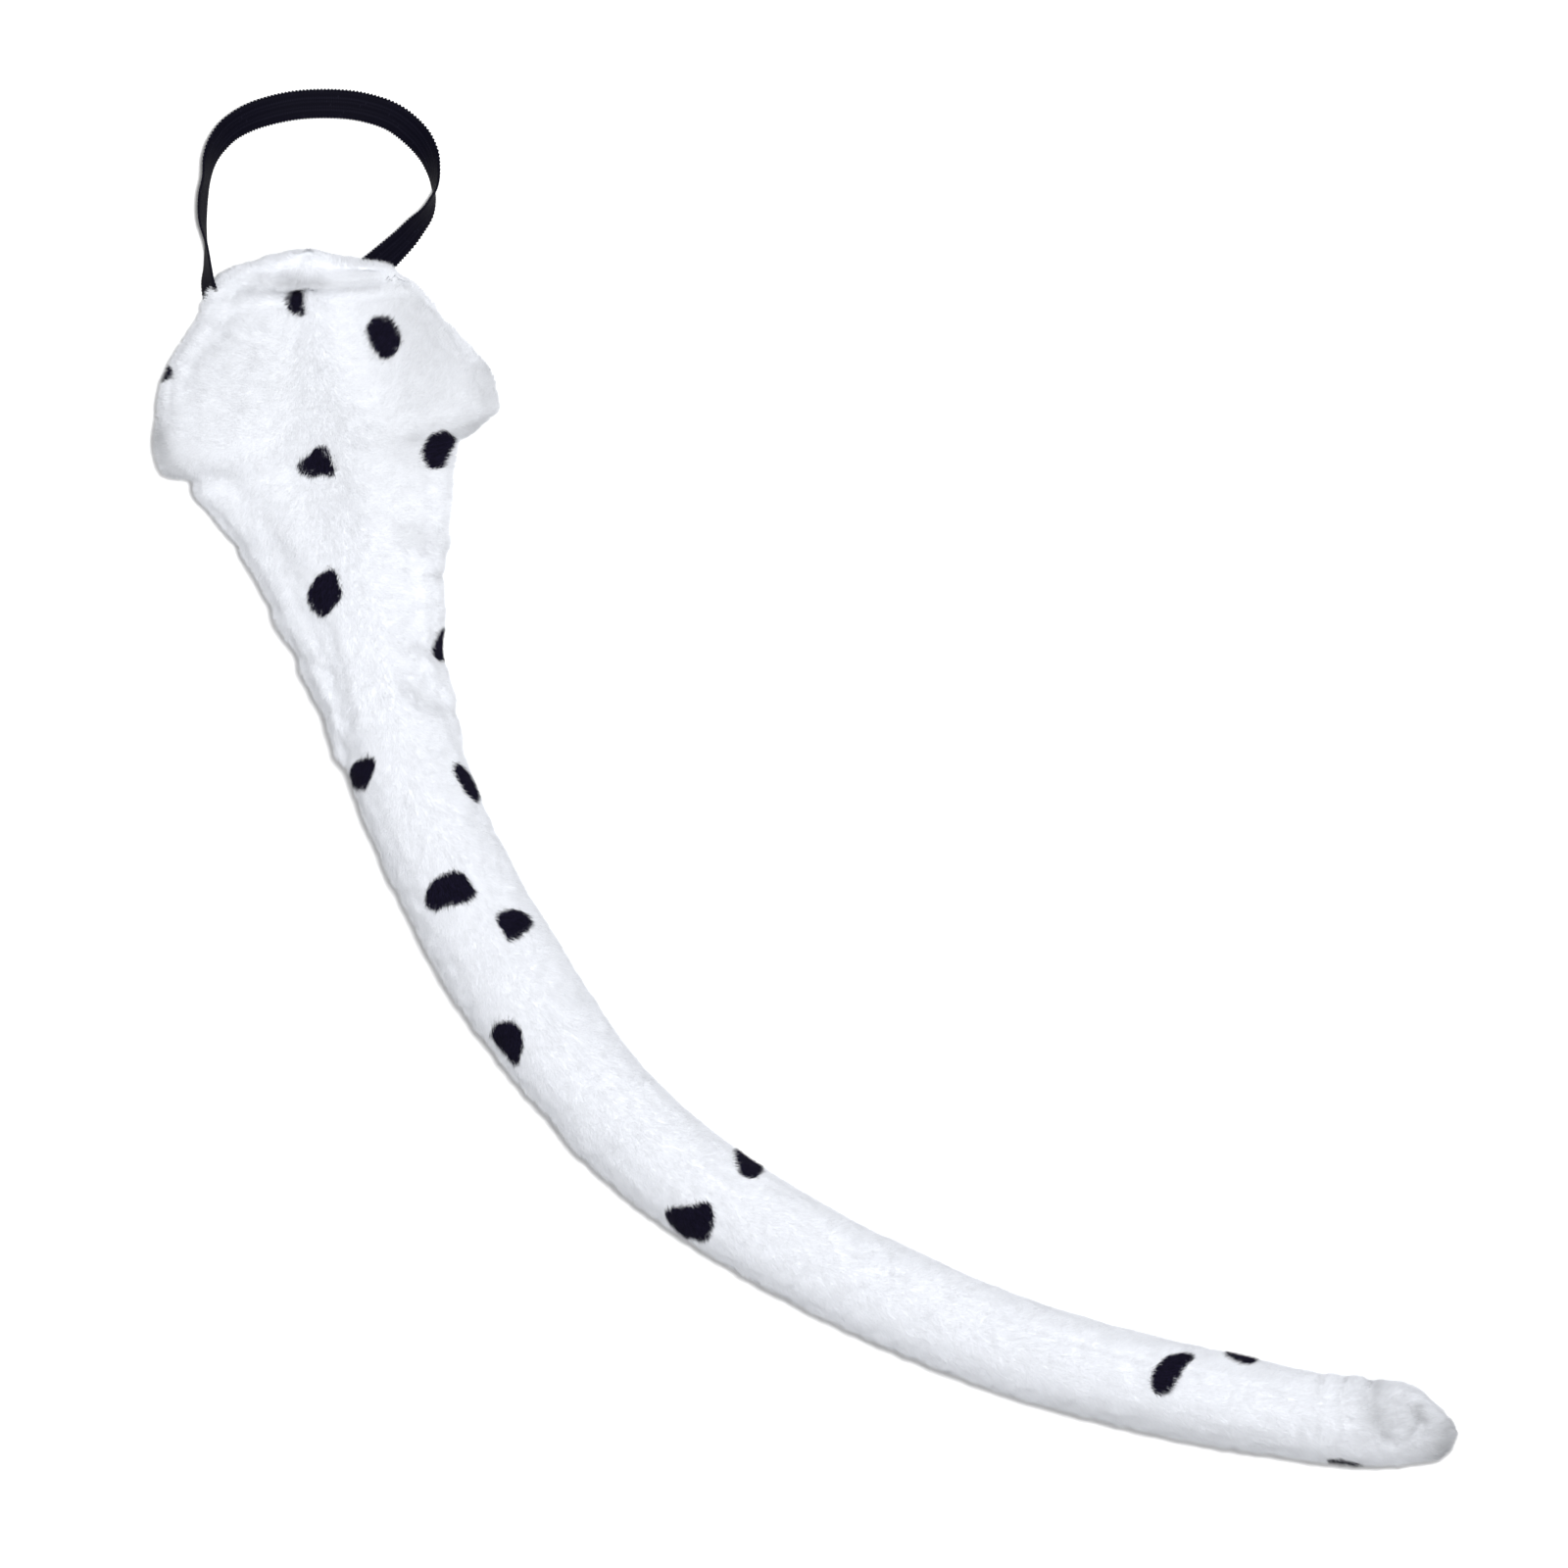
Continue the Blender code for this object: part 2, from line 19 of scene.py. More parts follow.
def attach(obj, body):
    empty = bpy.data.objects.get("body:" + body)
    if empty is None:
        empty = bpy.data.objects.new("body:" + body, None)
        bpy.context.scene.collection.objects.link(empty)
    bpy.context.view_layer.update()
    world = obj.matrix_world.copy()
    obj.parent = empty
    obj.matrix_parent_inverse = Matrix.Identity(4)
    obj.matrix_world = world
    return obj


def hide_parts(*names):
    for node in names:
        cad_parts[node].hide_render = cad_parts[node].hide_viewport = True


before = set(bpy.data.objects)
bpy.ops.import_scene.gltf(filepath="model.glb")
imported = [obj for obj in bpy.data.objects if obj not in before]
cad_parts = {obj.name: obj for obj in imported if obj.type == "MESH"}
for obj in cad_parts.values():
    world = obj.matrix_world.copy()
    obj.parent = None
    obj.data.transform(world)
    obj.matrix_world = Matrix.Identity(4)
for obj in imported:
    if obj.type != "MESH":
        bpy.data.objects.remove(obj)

MM = 0.001
LOG = logging.getLogger("costume_tail")
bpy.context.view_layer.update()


class Way(Enum):
    """The side that a stretch of surface faces."""

    FRONT = "front"
    BACK = "back"


@dataclass(frozen=True)
class PhotoPlace:
    """Turns places in the 1600 x 1600 photograph into metres on the floor plane.

    Args:
        centre_x: Column of the pixel above the frame's origin.
        centre_y: Row of the pixel above the frame's origin.
        px_per_mm: Scale of the photograph.
    """

    centre_x: float = 821.0
    centre_y: float = 793.5
    px_per_mm: float = 3.0

    def metres(self, points: list[tuple[float, float]]) -> np.ndarray:
        """Places in metres.

        Args:
            points: Columns and rows in the photograph.

        Returns:
            One row of x and y for each point.
        """
        pixels = np.asarray(points, float)
        offset = (pixels - (self.centre_x, self.centre_y)) * (1.0, -1.0)
        return offset / self.px_per_mm * MM


PHOTO = PhotoPlace()


def smooth_line(points: np.ndarray, steps: int, closed: bool = False) -> np.ndarray:
    """A smooth curve through points.

    Args:
        points: The points that the curve passes.
        steps: Points made for each stretch.
        closed: Whether the last point leads back to the first.

    Returns:
        The curve's points.
    """
    points = np.asarray(points, float)
    if closed:
        padded = np.concatenate((points[-1:], points, points[:2]))
    else:
        first = 2.0 * points[0] - points[1]
        last = 2.0 * points[-1] - points[-2]
        padded = np.concatenate((first[None], points, last[None]))
    curve = []
    for a, b, c, d in zip(padded, padded[1:], padded[2:], padded[3:]):
        for step in range(steps):
            t = step / steps
            curve.append(0.5 * (2.0 * b + (c - a) * t + (2.0 * a - 5.0 * b + 4.0 * c - d) * t * t
                                + (3.0 * b - a - 3.0 * c + d) * t ** 3))
    if not closed:
        curve.append(points[-1])
    return np.array(curve)


def round_corners(points: np.ndarray, times: int = 2) -> np.ndarray:
    """A closed outline with its corners cut, again and again.

    Args:
        points: The outline's points.
        times: How often the corners are cut.

    Returns:
        The rounder outline.
    """
    outline = np.asarray(points, float)
    for _ in range(times):
        ahead = np.roll(outline, -1, axis=0)
        pairs = (0.75 * outline + 0.25 * ahead, 0.25 * outline + 0.75 * ahead)
        outline = np.stack(pairs, axis=1).reshape(-1, 2)
    return outline


def distance_to_line(places: np.ndarray, line: np.ndarray) -> np.ndarray:
    """Distance on the floor plane from places to a line of straight stretches.

    Args:
        places: Rows of x and y.
        line: The line's points.

    Returns:
        One distance for each place.
    """
    best = np.full(len(places), np.inf)
    for start, end in zip(line, line[1:]):
        way = end - start
        share = np.clip(((places - start) @ way) / max(way @ way, 1e-12), 0.0, 1.0)
        gap = places - start - share[:, None] * way
        best = np.minimum(best, np.hypot(gap[:, 0], gap[:, 1]))
    return best


def inside_outline(places: np.ndarray, outline: np.ndarray) -> np.ndarray:
    """Whether places lie inside a closed outline.

    Args:
        places: Rows of x and y.
        outline: The outline's points.

    Returns:
        One truth value for each place.
    """
    inside = np.zeros(len(places), bool)
    x, y = places[:, 0], places[:, 1]
    for (ax, ay), (bx, by) in zip(outline, np.roll(outline, -1, axis=0)):
        crosses = (ay > y) != (by > y)
        height = by - ay if by != ay else 1e-12
        inside ^= crosses & (x < (bx - ax) * (y - ay) / height + ax)
    return inside


def link_mesh(name: str, mesh: bpy.types.Mesh) -> bpy.types.Object:
    """Put a mesh in the scene as one piece.

    Args:
        name: The piece's name.
        mesh: Its mesh.

    Returns:
        The new object.
    """
    piece = bpy.data.objects.new(name, mesh)
    bpy.context.scene.collection.objects.link(piece)
    return piece


def add_layer(mesh: bpy.types.Mesh, name: str, values: np.ndarray) -> None:
    """Store one value for each of a mesh's points.

    Args:
        mesh: The mesh.
        name: The attribute's name, which a material reads.
        values: One value for each point.
    """
    layer = mesh.attributes.new(name, "FLOAT", "POINT")
    layer.data.foreach_set("value", values.astype(np.float32))


def new_finish(name: str, settings: dict[str, float]) -> bpy.types.Material:
    """Make a material with a few of its shader's values set.

    Args:
        name: The material's name.
        settings: Value for each named input of the shader.

    Returns:
        The material.
    """
    finish = bpy.data.materials.new(name)
    finish.use_nodes = True
    for socket, value in settings.items():
        finish.node_tree.nodes["Principled BSDF"].inputs[socket].default_value = value
    return finish


def grid_mesh(name: str, places: np.ndarray, closed_rows: bool = False) -> bpy.types.Mesh:
    """A skin over a lattice of points whose columns close on themselves.

    Args:
        name: The mesh's name.
        places: Rows, columns and x, y, z.
        closed_rows: Whether the last row also meets the first.

    Returns:
        The mesh, with its seams merged and its faces pointing outwards.
    """
    lattice = np.concatenate((places, places[:, :1]), axis=1)
    if closed_rows:
        lattice = np.concatenate((lattice, lattice[:1]), axis=0)
    rows, columns = lattice.shape[:2]
    work = bmesh.new()
    bmesh.ops.create_grid(work, x_segments=columns - 1, y_segments=rows - 1, size=1.0)
    work.verts.ensure_lookup_table()
    for vertex, place in zip(work.verts, lattice.reshape(-1, 3)):
        vertex.co = place
    bmesh.ops.remove_doubles(work, verts=work.verts[:], dist=1e-7)
    if not closed_rows:
        edges = [edge for edge in work.edges if edge.is_boundary]
        bmesh.ops.holes_fill(work, edges=edges, sides=0)
    bmesh.ops.recalc_face_normals(work, faces=work.faces[:])
    if work.calc_volume(signed=True) < 0.0:
        bmesh.ops.reverse_faces(work, faces=work.faces[:])
    for face in work.faces:
        face.smooth = True
    mesh = bpy.data.meshes.new(name)
    work.to_mesh(mesh)
    work.free()
    return mesh


@dataclass(frozen=True)
class Crease:
    """A dent, seam or fold pressed into the cloth along a line in the photograph.

    Args:
        line: The line's points in the photograph.
        depth: How deep it goes, in millimetres; a ridge is negative.
        width: How far it reaches to each side, in millimetres.
    """

    line: tuple[tuple[float, float], ...]
    depth: float
    width: float

    def press(self, places: np.ndarray) -> np.ndarray:
        """Depth in metres at places on the floor plane.

        Args:
            places: Rows of x and y.

        Returns:
            One depth for each place.
        """
        curve = smooth_line(PHOTO.metres(list(self.line)), 5)
        away = distance_to_line(places, curve) / (self.width * MM)
        return self.depth * MM * np.exp(-away * away)


SEAM_LINE = ((309, 256), (310, 290), (313, 322), (325, 380), (333, 450), (343, 487), (355, 560),
             (372, 600), (393, 690), (410, 740), (440, 800), (478, 890), (502, 931), (530, 993),
             (575, 1045), (616, 1091), (680, 1152), (735, 1196), (850, 1268), (980, 1327),
             (1120, 1377), (1260, 1410), (1380, 1431), (1447, 1444))

CREASES = (
    Crease(SEAM_LINE, 0.60, 0.9),
    Crease(SEAM_LINE, -0.35, 3.0),
    Crease(((252, 291), (275, 288), (300, 286), (325, 287), (350, 287), (378, 286)), 1.7, 2.6),
    Crease(((290, 288), (308, 287), (328, 288)), 1.5, 3.0),
    Crease(((226, 303), (240, 296), (256, 290)), 0.8, 2.4),
    Crease(((376, 286), (392, 282), (410, 284)), 0.9, 2.4),
    Crease(((270, 273), (300, 268), (330, 270), (360, 276)), -0.9, 3.2),
    Crease(((324, 256), (329, 262), (333, 270)), 0.9, 1.8),
    Crease(((302, 256), (303, 262), (300, 270)), 0.6, 1.8),
    Crease(((470, 443), (480, 438), (490, 436)), 1.6, 1.5),
    Crease(((446, 478), (458, 476), (470, 473)), 0.9, 2.0),
    Crease(((410, 540), (424, 546), (440, 545)), 0.9, 3.2),
    Crease(((436, 514), (450, 510), (464, 512)), 0.6, 2.2),
    Crease(((434, 590), (444, 588), (456, 586)), 1.7, 1.5),
    Crease(((448, 616), (454, 614), (462, 613)), 0.8, 1.2),
    Crease(((414, 654), (428, 661), (440, 668), (452, 676), (462, 679)), 1.3, 1.8),
    Crease(((440, 692), (452, 692), (466, 690)), 0.5, 1.5),
    Crease(((414, 700), (424, 712), (436, 720), (450, 724), (468, 727)), 1.8, 1.9),
    Crease(((470, 742), (480, 746), (486, 744)), 0.6, 1.6),
    Crease(((486, 820), (496, 824), (504, 822)), 0.7, 1.8),
    Crease(((502, 846), (512, 848), (520, 845)), 0.8, 1.6),
    Crease(((580, 986), (592, 985), (600, 978)), 0.7, 1.8),
    Crease(((596, 1010), (606, 1006), (616, 999)), 0.6, 1.8),
    Crease(((650, 1096), (662, 1086), (668, 1074)), 0.9, 2.2),
    Crease(((240, 556), (256, 560), (280, 570)), 0.6, 2.4),
    Crease(((276, 618), (290, 622), (306, 632)), 0.5, 2.4),
    Crease(((300, 670), (316, 674), (336, 688)), 0.7, 2.4),
    Crease(((323, 722), (338, 726), (356, 740)), 0.7, 2.2),
    Crease(((340, 762), (356, 766), (372, 780)), 0.5, 2.2),
    Crease(((400, 912), (414, 912), (430, 918)), 0.5, 2.2),
    Crease(((436, 982), (450, 980), (466, 984)), 0.5, 2.2),
    Crease(((472, 1032), (486, 1028), (500, 1030)), 0.4, 2.2),
    Crease(((604, 1186), (616, 1178), (630, 1174)), 0.6, 2.4),
    Crease(((708, 1266), (718, 1256), (730, 1248)), 0.5, 2.2),
    Crease(((800, 1322), (808, 1312), (818, 1304)), 0.5, 2.2),
    Crease(((1040, 1352), (1034, 1376), (1040, 1404)), 0.35, 2.4),
    Crease(((1110, 1364), (1103, 1396), (1110, 1428)), 0.40, 2.4),
    Crease(((1180, 1378), (1170, 1410), (1176, 1440)), 0.35, 2.4),
    Crease(((1232, 1384), (1226, 1420), (1232, 1452)), 0.40, 2.4),
    Crease(((1284, 1392), (1279, 1415), (1286, 1450)), 0.50, 2.0),
    Crease(((1316, 1398), (1311, 1420), (1316, 1460)), 0.55, 2.0),
    Crease(((1348, 1402), (1342, 1428), (1346, 1470)), 0.80, 1.9),
    Crease(((1372, 1404), (1366, 1428), (1370, 1462)), 0.90, 1.5),
    Crease(((1402, 1402), (1396, 1418), (1397, 1438), (1404, 1456), (1416, 1470)), 1.30, 1.9),
    Crease(((1386, 1408), (1381, 1430), (1385, 1458)), -0.60, 1.6),
    Crease(((1438, 1432), (1446, 1441), (1449, 1450), (1444, 1460)), 1.50, 1.4),
    Crease(((1430, 1420), (1440, 1422), (1450, 1427)), -0.60, 2.2),
    Crease(((1450, 1456), (1460, 1452), (1468, 1458), (1466, 1468), (1456, 1470)), -0.70, 1.8),
    Crease(((1470, 1442), (1464, 1447), (1458, 1450)), 0.70, 1.2),
    Crease(((1480, 1464), (1474, 1463), (1468, 1461)), 0.50, 1.2),
    Crease(((1462, 1484), (1460, 1477), (1457, 1471)), 0.50, 1.2),
    Crease(((1424, 1474), (1434, 1470), (1444, 1464)), 0.60, 1.4),
)


@dataclass(frozen=True)
class Nudge:
    """A stretch of the outline moved over to where the photograph shows it.

    Args:
        line: The stretch in the photograph.
        by: How far it moves in the photograph.
        reach: How far round it the move fades out, in the photograph.
    """

    line: tuple[tuple[float, float], ...]
    by: tuple[float, float]
    reach: float

    def move(self, places: np.ndarray) -> np.ndarray:
        """The move of places on the floor plane, in metres.

        Args:
            places: Rows of x and y.

        Returns:
            One row of x and y for each place.
        """
        away = distance_to_line(places, PHOTO.metres(list(self.line)))
        away /= self.reach / PHOTO.px_per_mm * MM
        step = np.array(self.by) * (1.0, -1.0) / PHOTO.px_per_mm * MM
        return np.exp(-away * away)[:, None] * step


NUDGES = (
    Nudge(((345, 253), (372, 256)), (0.0, 9.0), 15.0),
    Nudge(((262, 259), (285, 256)), (0.0, 3.0), 12.0),
    Nudge(((398, 262), (412, 274)), (-2.0, 4.0), 14.0),
    Nudge(((430, 292), (468, 336)), (-2.0, 2.0), 16.0),
    Nudge(((494, 380), (500, 402)), (6.0, 0.0), 14.0),
    Nudge(((474, 432), (496, 412)), (5.0, 8.0), 12.0),
    Nudge(((468, 468), (467, 484)), (-3.0, 0.0), 12.0),
    Nudge(((459, 520), (456, 540)), (3.0, 0.0), 12.0),
    Nudge(((450, 556), (448, 576)), (9.0, 0.0), 12.0),
    Nudge(((451, 600), (453, 640)), (4.0, 0.0), 14.0),
    Nudge(((456, 684), (460, 708)), (4.0, -2.0), 12.0),
    Nudge(((474, 738), (494, 800)), (-3.0, 1.0), 16.0),
    Nudge(((500, 815), (512, 846)), (-2.0, 1.0), 14.0),
    Nudge(((552, 930), (576, 966)), (3.0, -2.0), 14.0),
    Nudge(((588, 986), (612, 1016)), (4.0, -3.0), 14.0),
    Nudge(((158, 450), (164, 464)), (-1.0, 4.0), 12.0),
    Nudge(((168, 470), (190, 482)), (0.0, 8.0), 12.0),
    Nudge(((206, 488), (209, 504)), (-8.0, 1.0), 12.0),
    Nudge(((214, 296), (196, 326)), (2.0, 1.0), 14.0),
    Nudge(((226, 532), (240, 552)), (2.0, -1.0), 12.0),
    Nudge(((288, 640), (296, 656)), (-4.0, 1.0), 14.0),
    Nudge(((306, 684), (324, 716)), (-4.0, 1.0), 14.0),
    Nudge(((500, 1080), (560, 1150)), (3.0, -3.0), 24.0),
    Nudge(((1290, 1387), (1350, 1397)), (0.0, 2.0), 20.0),
    Nudge(((1428, 1410), (1446, 1420)), (3.0, -3.0), 10.0),
    Nudge(((1466, 1480), (1478, 1474)), (0.0, 5.0), 10.0),
)


@dataclass(frozen=True)
class PaintedShade:
    """A patch of painted shade: the pile's colour darkened in creases, dents and folds and where the
    surface turns away from the light.

    Args:
        line: The middle of the patch in the photograph.
        reach: How far it fades out, in the photograph.
        loss: Share of the brightness lost in its middle.
    """

    line: tuple[tuple[float, float], ...]
    reach: float
    loss: float

    def dim(self, places: np.ndarray) -> np.ndarray:
        """Loss of brightness at places on the floor plane.

        Args:
            places: Rows of x and y.

        Returns:
            One share for each place.
        """
        away = distance_to_line(places, PHOTO.metres(list(self.line)))
        away /= self.reach / PHOTO.px_per_mm * MM
        return self.loss * np.exp(-away * away)


# Painted shade along the casing's dent, the folds and the tip's creases, under the lobes and down the
# head's sides.
PAINTED_SHADES = (
    PaintedShade(((240, 390), (330, 400), (340, 500)), 80.0, 0.07),
    PaintedShade(((430, 330), (445, 400), (430, 450)), 50.0, 0.17),
    PaintedShade(((498, 385), (503, 425), (486, 436)), 20.0, 0.24),
    PaintedShade(((163, 450), (178, 482)), 20.0, 0.30),
    PaintedShade(((172, 410), (162, 440)), 14.0, 0.10),
    PaintedShade(((258, 289), (300, 286), (340, 288), (376, 286)), 8.0, 0.14),
    PaintedShade(((292, 289), (322, 288)), 10.0, 0.18),
    PaintedShade(((412, 546), (444, 552)), 15.0, 0.12),
    PaintedShade(((418, 702), (434, 718), (458, 726)), 7.0, 0.14),
    PaintedShade(((422, 658), (448, 674)), 7.0, 0.12),
    PaintedShade(((444, 588), (456, 587)), 6.0, 0.18),
    PaintedShade(((1402, 1404), (1398, 1436), (1412, 1466)), 7.0, 0.14),
    PaintedShade(((1370, 1410), (1368, 1455)), 5.0, 0.08),
    PaintedShade(((1344, 1410), (1342, 1455)), 5.0, 0.07),
    PaintedShade(((1410, 1440), (1470, 1480)), 34.0, 0.20),
    PaintedShade(((1480, 1452), (1470, 1482)), 14.0, 0.24),
    PaintedShade(((1443, 1437), (1448, 1448)), 6.0, 0.26),
    PaintedShade(((1080, 1432), (1200, 1458), (1380, 1484)), 18.0, 0.08),
)


def upper_share(facing: np.ndarray, offset: float = 0.6) -> np.ndarray:
    """How far places count as lying on the upper side.

    Args:
        facing: Upward part of the outward direction at each place.
        offset: How far the share reaches past the edge and down the sides.

    Returns:
        One share from 0 to 1 for each place.
    """
    return np.clip(facing * 2.0 + offset, 0.0, 1.0)


def painted_shade_factor(places: np.ndarray, facing: np.ndarray) -> np.ndarray:
    """Brightness of the pile at places on the surface, with the painted shade laid over its upper side.

    Args:
        places: Rows of x and y.
        facing: Upward part of the outward direction at each place.

    Returns:
        One share for each place.
    """
    loss = np.zeros(len(places))
    for shade_patch in PAINTED_SHADES:
        loss += shade_patch.dim(places)
    return 1.0 - loss * upper_share(facing)


def smooth_table(table: np.ndarray, times: int) -> np.ndarray:
    """Even out a lattice of values whose columns close on themselves.

    Args:
        table: The values.
        times: How often each value moves to its neighbours' mean.

    Returns:
        The smoother values.
    """
    for _ in range(times):
        rows = np.concatenate((table[:1], table, table[-1:]))
        near = (rows[:-2] + rows[2:]) / 2.0
        side = (np.roll(table, 1, axis=1) + np.roll(table, -1, axis=1)) / 2.0
        table = 0.5 * table + 0.25 * near + 0.25 * side
    return table


@dataclass(frozen=True)
class Swell:
    """A cloth simulation in which the stuffing presses the skin out.

    Args:
        voxel: Size of the simulated cloth's cells.
        pressure: Pressure of the stuffing.
        frames: Frames that it runs.
        start: How much smaller the skin starts.
        cap: How far the result may move a point.
        search: Length over which the swollen surface is looked for.
        common_passes: Smoothing passes that leave only the swell common to a wide area.
        soft_passes: Smoothing passes over what is kept.
    """

    voxel: float = 5.0 * MM
    pressure: float = 4.0
    frames: int = 20
    start: float = 1.5 * MM
    cap: float = 1.0 * MM
    search: float = 8.0 * MM
    common_passes: int = 60
    soft_passes: int = 3

    def simulate(self, places: np.ndarray) -> BVHTree:
        """Run the cloth.

        Args:
            places: The lattice that it starts from.

        Returns:
            The swollen surface, for measuring.
        """
        piece = link_mesh("swell", grid_mesh("swell", places))
        remesh = piece.modifiers.new("cells", "REMESH")
        remesh.mode = "VOXEL"
        remesh.voxel_size = self.voxel
        graph = bpy.context.evaluated_depsgraph_get()
        cells = bpy.data.meshes.new_from_object(piece.evaluated_get(graph))
        piece.modifiers.clear()
        piece.data = cells
        cloth = piece.modifiers.new("cloth", "CLOTH")
        cloth.settings.use_pressure = True
        cloth.settings.uniform_pressure_force = self.pressure
        cloth.settings.effector_weights.gravity = 0.0
        cloth.point_cache.frame_start = 1
        cloth.point_cache.frame_end = self.frames
        scene = bpy.context.scene
        for frame_number in range(1, self.frames + 1):
            scene.frame_set(frame_number)
        graph = bpy.context.evaluated_depsgraph_get()
        swollen = piece.evaluated_get(graph).to_mesh()
        work = bmesh.new()
        work.from_mesh(swollen)
        tree = BVHTree.FromBMesh(work)
        work.free()
        LOG.info("swell: %d cloth points", len(cells.vertices))
        scene.frame_set(1)
        bpy.data.objects.remove(piece)
        return tree

    def offsets(self, places: np.ndarray, outward: np.ndarray) -> np.ndarray:
        """How far the cloth's tension moves each point along its outward direction.

        Args:
            places: The lattice.
            outward: The outward direction at each point.

        Returns:
            One offset for each point, less the swell that would change the girth.
        """
        start = places - outward * self.start
        tree = self.simulate(start)
        moves = np.zeros(len(start.reshape(-1, 3)))
        pairs = zip(start.reshape(-1, 3), outward.reshape(-1, 3))
        for number, (place, way) in enumerate(pairs):
            origin = Vector(place - way * self.search / 2.0)
            met, _, _, gone = tree.ray_cast(origin, Vector(way), self.search * 1.5)
            moves[number] = 0.0 if met is None else gone - self.search / 2.0
        moves = moves.reshape(places.shape[:2])
        moves -= smooth_table(moves, self.common_passes)
        moves = smooth_table(np.clip(moves, -self.cap, self.cap), self.soft_passes)
        LOG.info("swell: from %.2f to %.2f mm", moves.min() / MM, moves.max() / MM)
        return moves


@dataclass(frozen=True)
class Lump:
    """Soft unevenness of one grain.

    Args:
        height: Its height in millimetres.
        grain: How often it repeats in a metre.
    """

    height: float
    grain: float


LUMPS = (
    Lump(0.45, 55.0),
    Lump(0.22, 140.0),
    Lump(0.10, 330.0),
)


@dataclass
class TailBody:
    """The stuffed body: its surface as a lattice, measured from the solids.

    Args:
        rings: Rings along the tail.
        around: Points round each ring.
        pile_height: How far the cloth's backing lies under the pile's tips.
        reach: How far out the surface is looked for.
        top_cap: How far the cap at the casing bulges.
        tip_cap: How far the cap at the tip bulges.
        cap_overlap: How far a cap reaches past the solids' end.
        cap_rings: Rings in each cap.
        half_height: Half the height that the first ring starts from.
        half_width: Half the width that the first ring starts from.
        first_height: Height over the floor that the first ring starts from.
        relax_times: Smoothing passes over the solids' facets.
        pit_share: Share of its neighbours' median under which a reading is a slot.
        back_seam_depth: Depth of the seam on the underside.
        back_seam_width: Reach of the seam on the underside.
        floor_gap: How far the backing keeps off the floor.
        middle: Points of the tail's middle line in the photograph.
        places: The lattice, ring by ring.
        outward: The outward direction at each of its points.
        tree: The solids' surface, for measuring.
    """

    rings: int = 430
    around: int = 100
    pile_height: float = 0.8 * MM
    reach: float = 90.0 * MM
    top_cap: float = 1.8 * MM
    tip_cap: float = 3.4 * MM
    cap_overlap: float = 0.3 * MM
    cap_rings: int = 8
    half_height: float = 4.0 * MM
    half_width: float = 20.0 * MM
    first_height: float = 6.0 * MM
    relax_times: int = 12
    pit_share: float = 0.93
    back_seam_depth: float = 0.7 * MM
    back_seam_width: float = 1.2 * MM
    floor_gap: float = 0.25 * MM
    middle: tuple[tuple[float, float], ...] = (
        (313, 254), (315, 290), (319, 330), (326, 390), (336, 452), (348, 525), (366, 603),
        (389, 694), (427, 813), (480, 926), (546, 1033), (625, 1130), (719, 1212), (825, 1278),
        (937, 1333), (1054, 1378), (1175, 1412), (1298, 1436), (1391, 1449), (1453, 1456),
        (1484, 1458))
    places: np.ndarray = field(default=None, repr=False)
    outward: np.ndarray = field(default=None, repr=False)
    tree: BVHTree = field(default=None, repr=False)

    def middle_line(self) -> tuple[np.ndarray, np.ndarray]:
        """Even steps along the middle line.

        Returns:
            The points, and the direction at each.
        """
        curve = smooth_line(PHOTO.metres(list(self.middle)), 24)
        lengths = np.concatenate(([0.0], np.cumsum(np.hypot(*np.diff(curve, axis=0).T))))
        walk = np.linspace(self.top_cap, lengths[-1] - self.tip_cap, self.rings)
        points = np.stack([np.interp(walk, lengths, curve[:, axis]) for axis in (0, 1)], axis=1)
        ways = np.gradient(points, axis=0)
        ways /= np.linalg.norm(ways, axis=1, keepdims=True)
        return points, ways

    def hit(self, start: Vector, toward: Vector, fallback: float) -> float:
        """Distance from the middle to the first surface met on the way in.

        Args:
            start: The point in the middle.
            toward: Unit direction from the middle outwards.
            fallback: What to give where nothing is met.

        Returns:
            The distance.
        """
        place, _, _, gone = self.tree.ray_cast(start + toward * self.reach, -toward, self.reach)
        return fallback if place is None else self.reach - gone

    def measure(self, nodes: list[str]) -> None:
        """Read the outer surface of the solids, ring by ring.

        Args:
            nodes: The solids that make up the outside.
        """
        work = bmesh.new()
        for node in nodes:
            work.from_mesh(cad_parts[node].data)
        self.tree = BVHTree.FromBMesh(work)
        work.free()
        points, ways = self.middle_line()
        angles = np.linspace(0.0, 2.0 * pi, self.around, endpoint=False)
        half_height = self.half_height
        middle_height = self.first_height
        widths = [self.half_width, self.half_width]
        up = Vector((0.0, 0.0, 1.0))
        centres = []
        spans = []
        reads = []
        for point, way in zip(points, ways):
            left = Vector((way[1], -way[0], 0.0))
            base = Vector((*point, middle_height))
            top = middle_height + self.hit(base, up, half_height)
            low = middle_height - self.hit(base, -up, half_height)
            middle_height = (top + low) / 2.0
            half_height = (top - low) / 2.0
            centre = Vector((*point, middle_height))
            widths = [self.hit(centre, left, widths[0]), self.hit(centre, -left, widths[1])]
            ring = []
            dirs = []
            for angle in angles:
                width = widths[0] if sin(angle) >= 0.0 else widths[1]
                arm = left * (width * sin(angle)) + up * (half_height * cos(angle))
                dirs.append(arm.normalized())
                ring.append(self.hit(centre, dirs[-1], arm.length))
            centres.append(centre)
            spans.append(dirs)
            reads.append(ring)
        lengths = self.without_slots(np.array(reads))
        sides = np.array(centres)[:, None, :] + np.array(spans) * lengths[:, :, None]
        top = self.round_end(sides[0], -ways[0], self.top_cap + self.cap_overlap)
        tip = self.round_end(sides[-1], ways[-1], self.tip_cap + self.cap_overlap)
        self.places = np.concatenate((top[::-1], sides, tip))

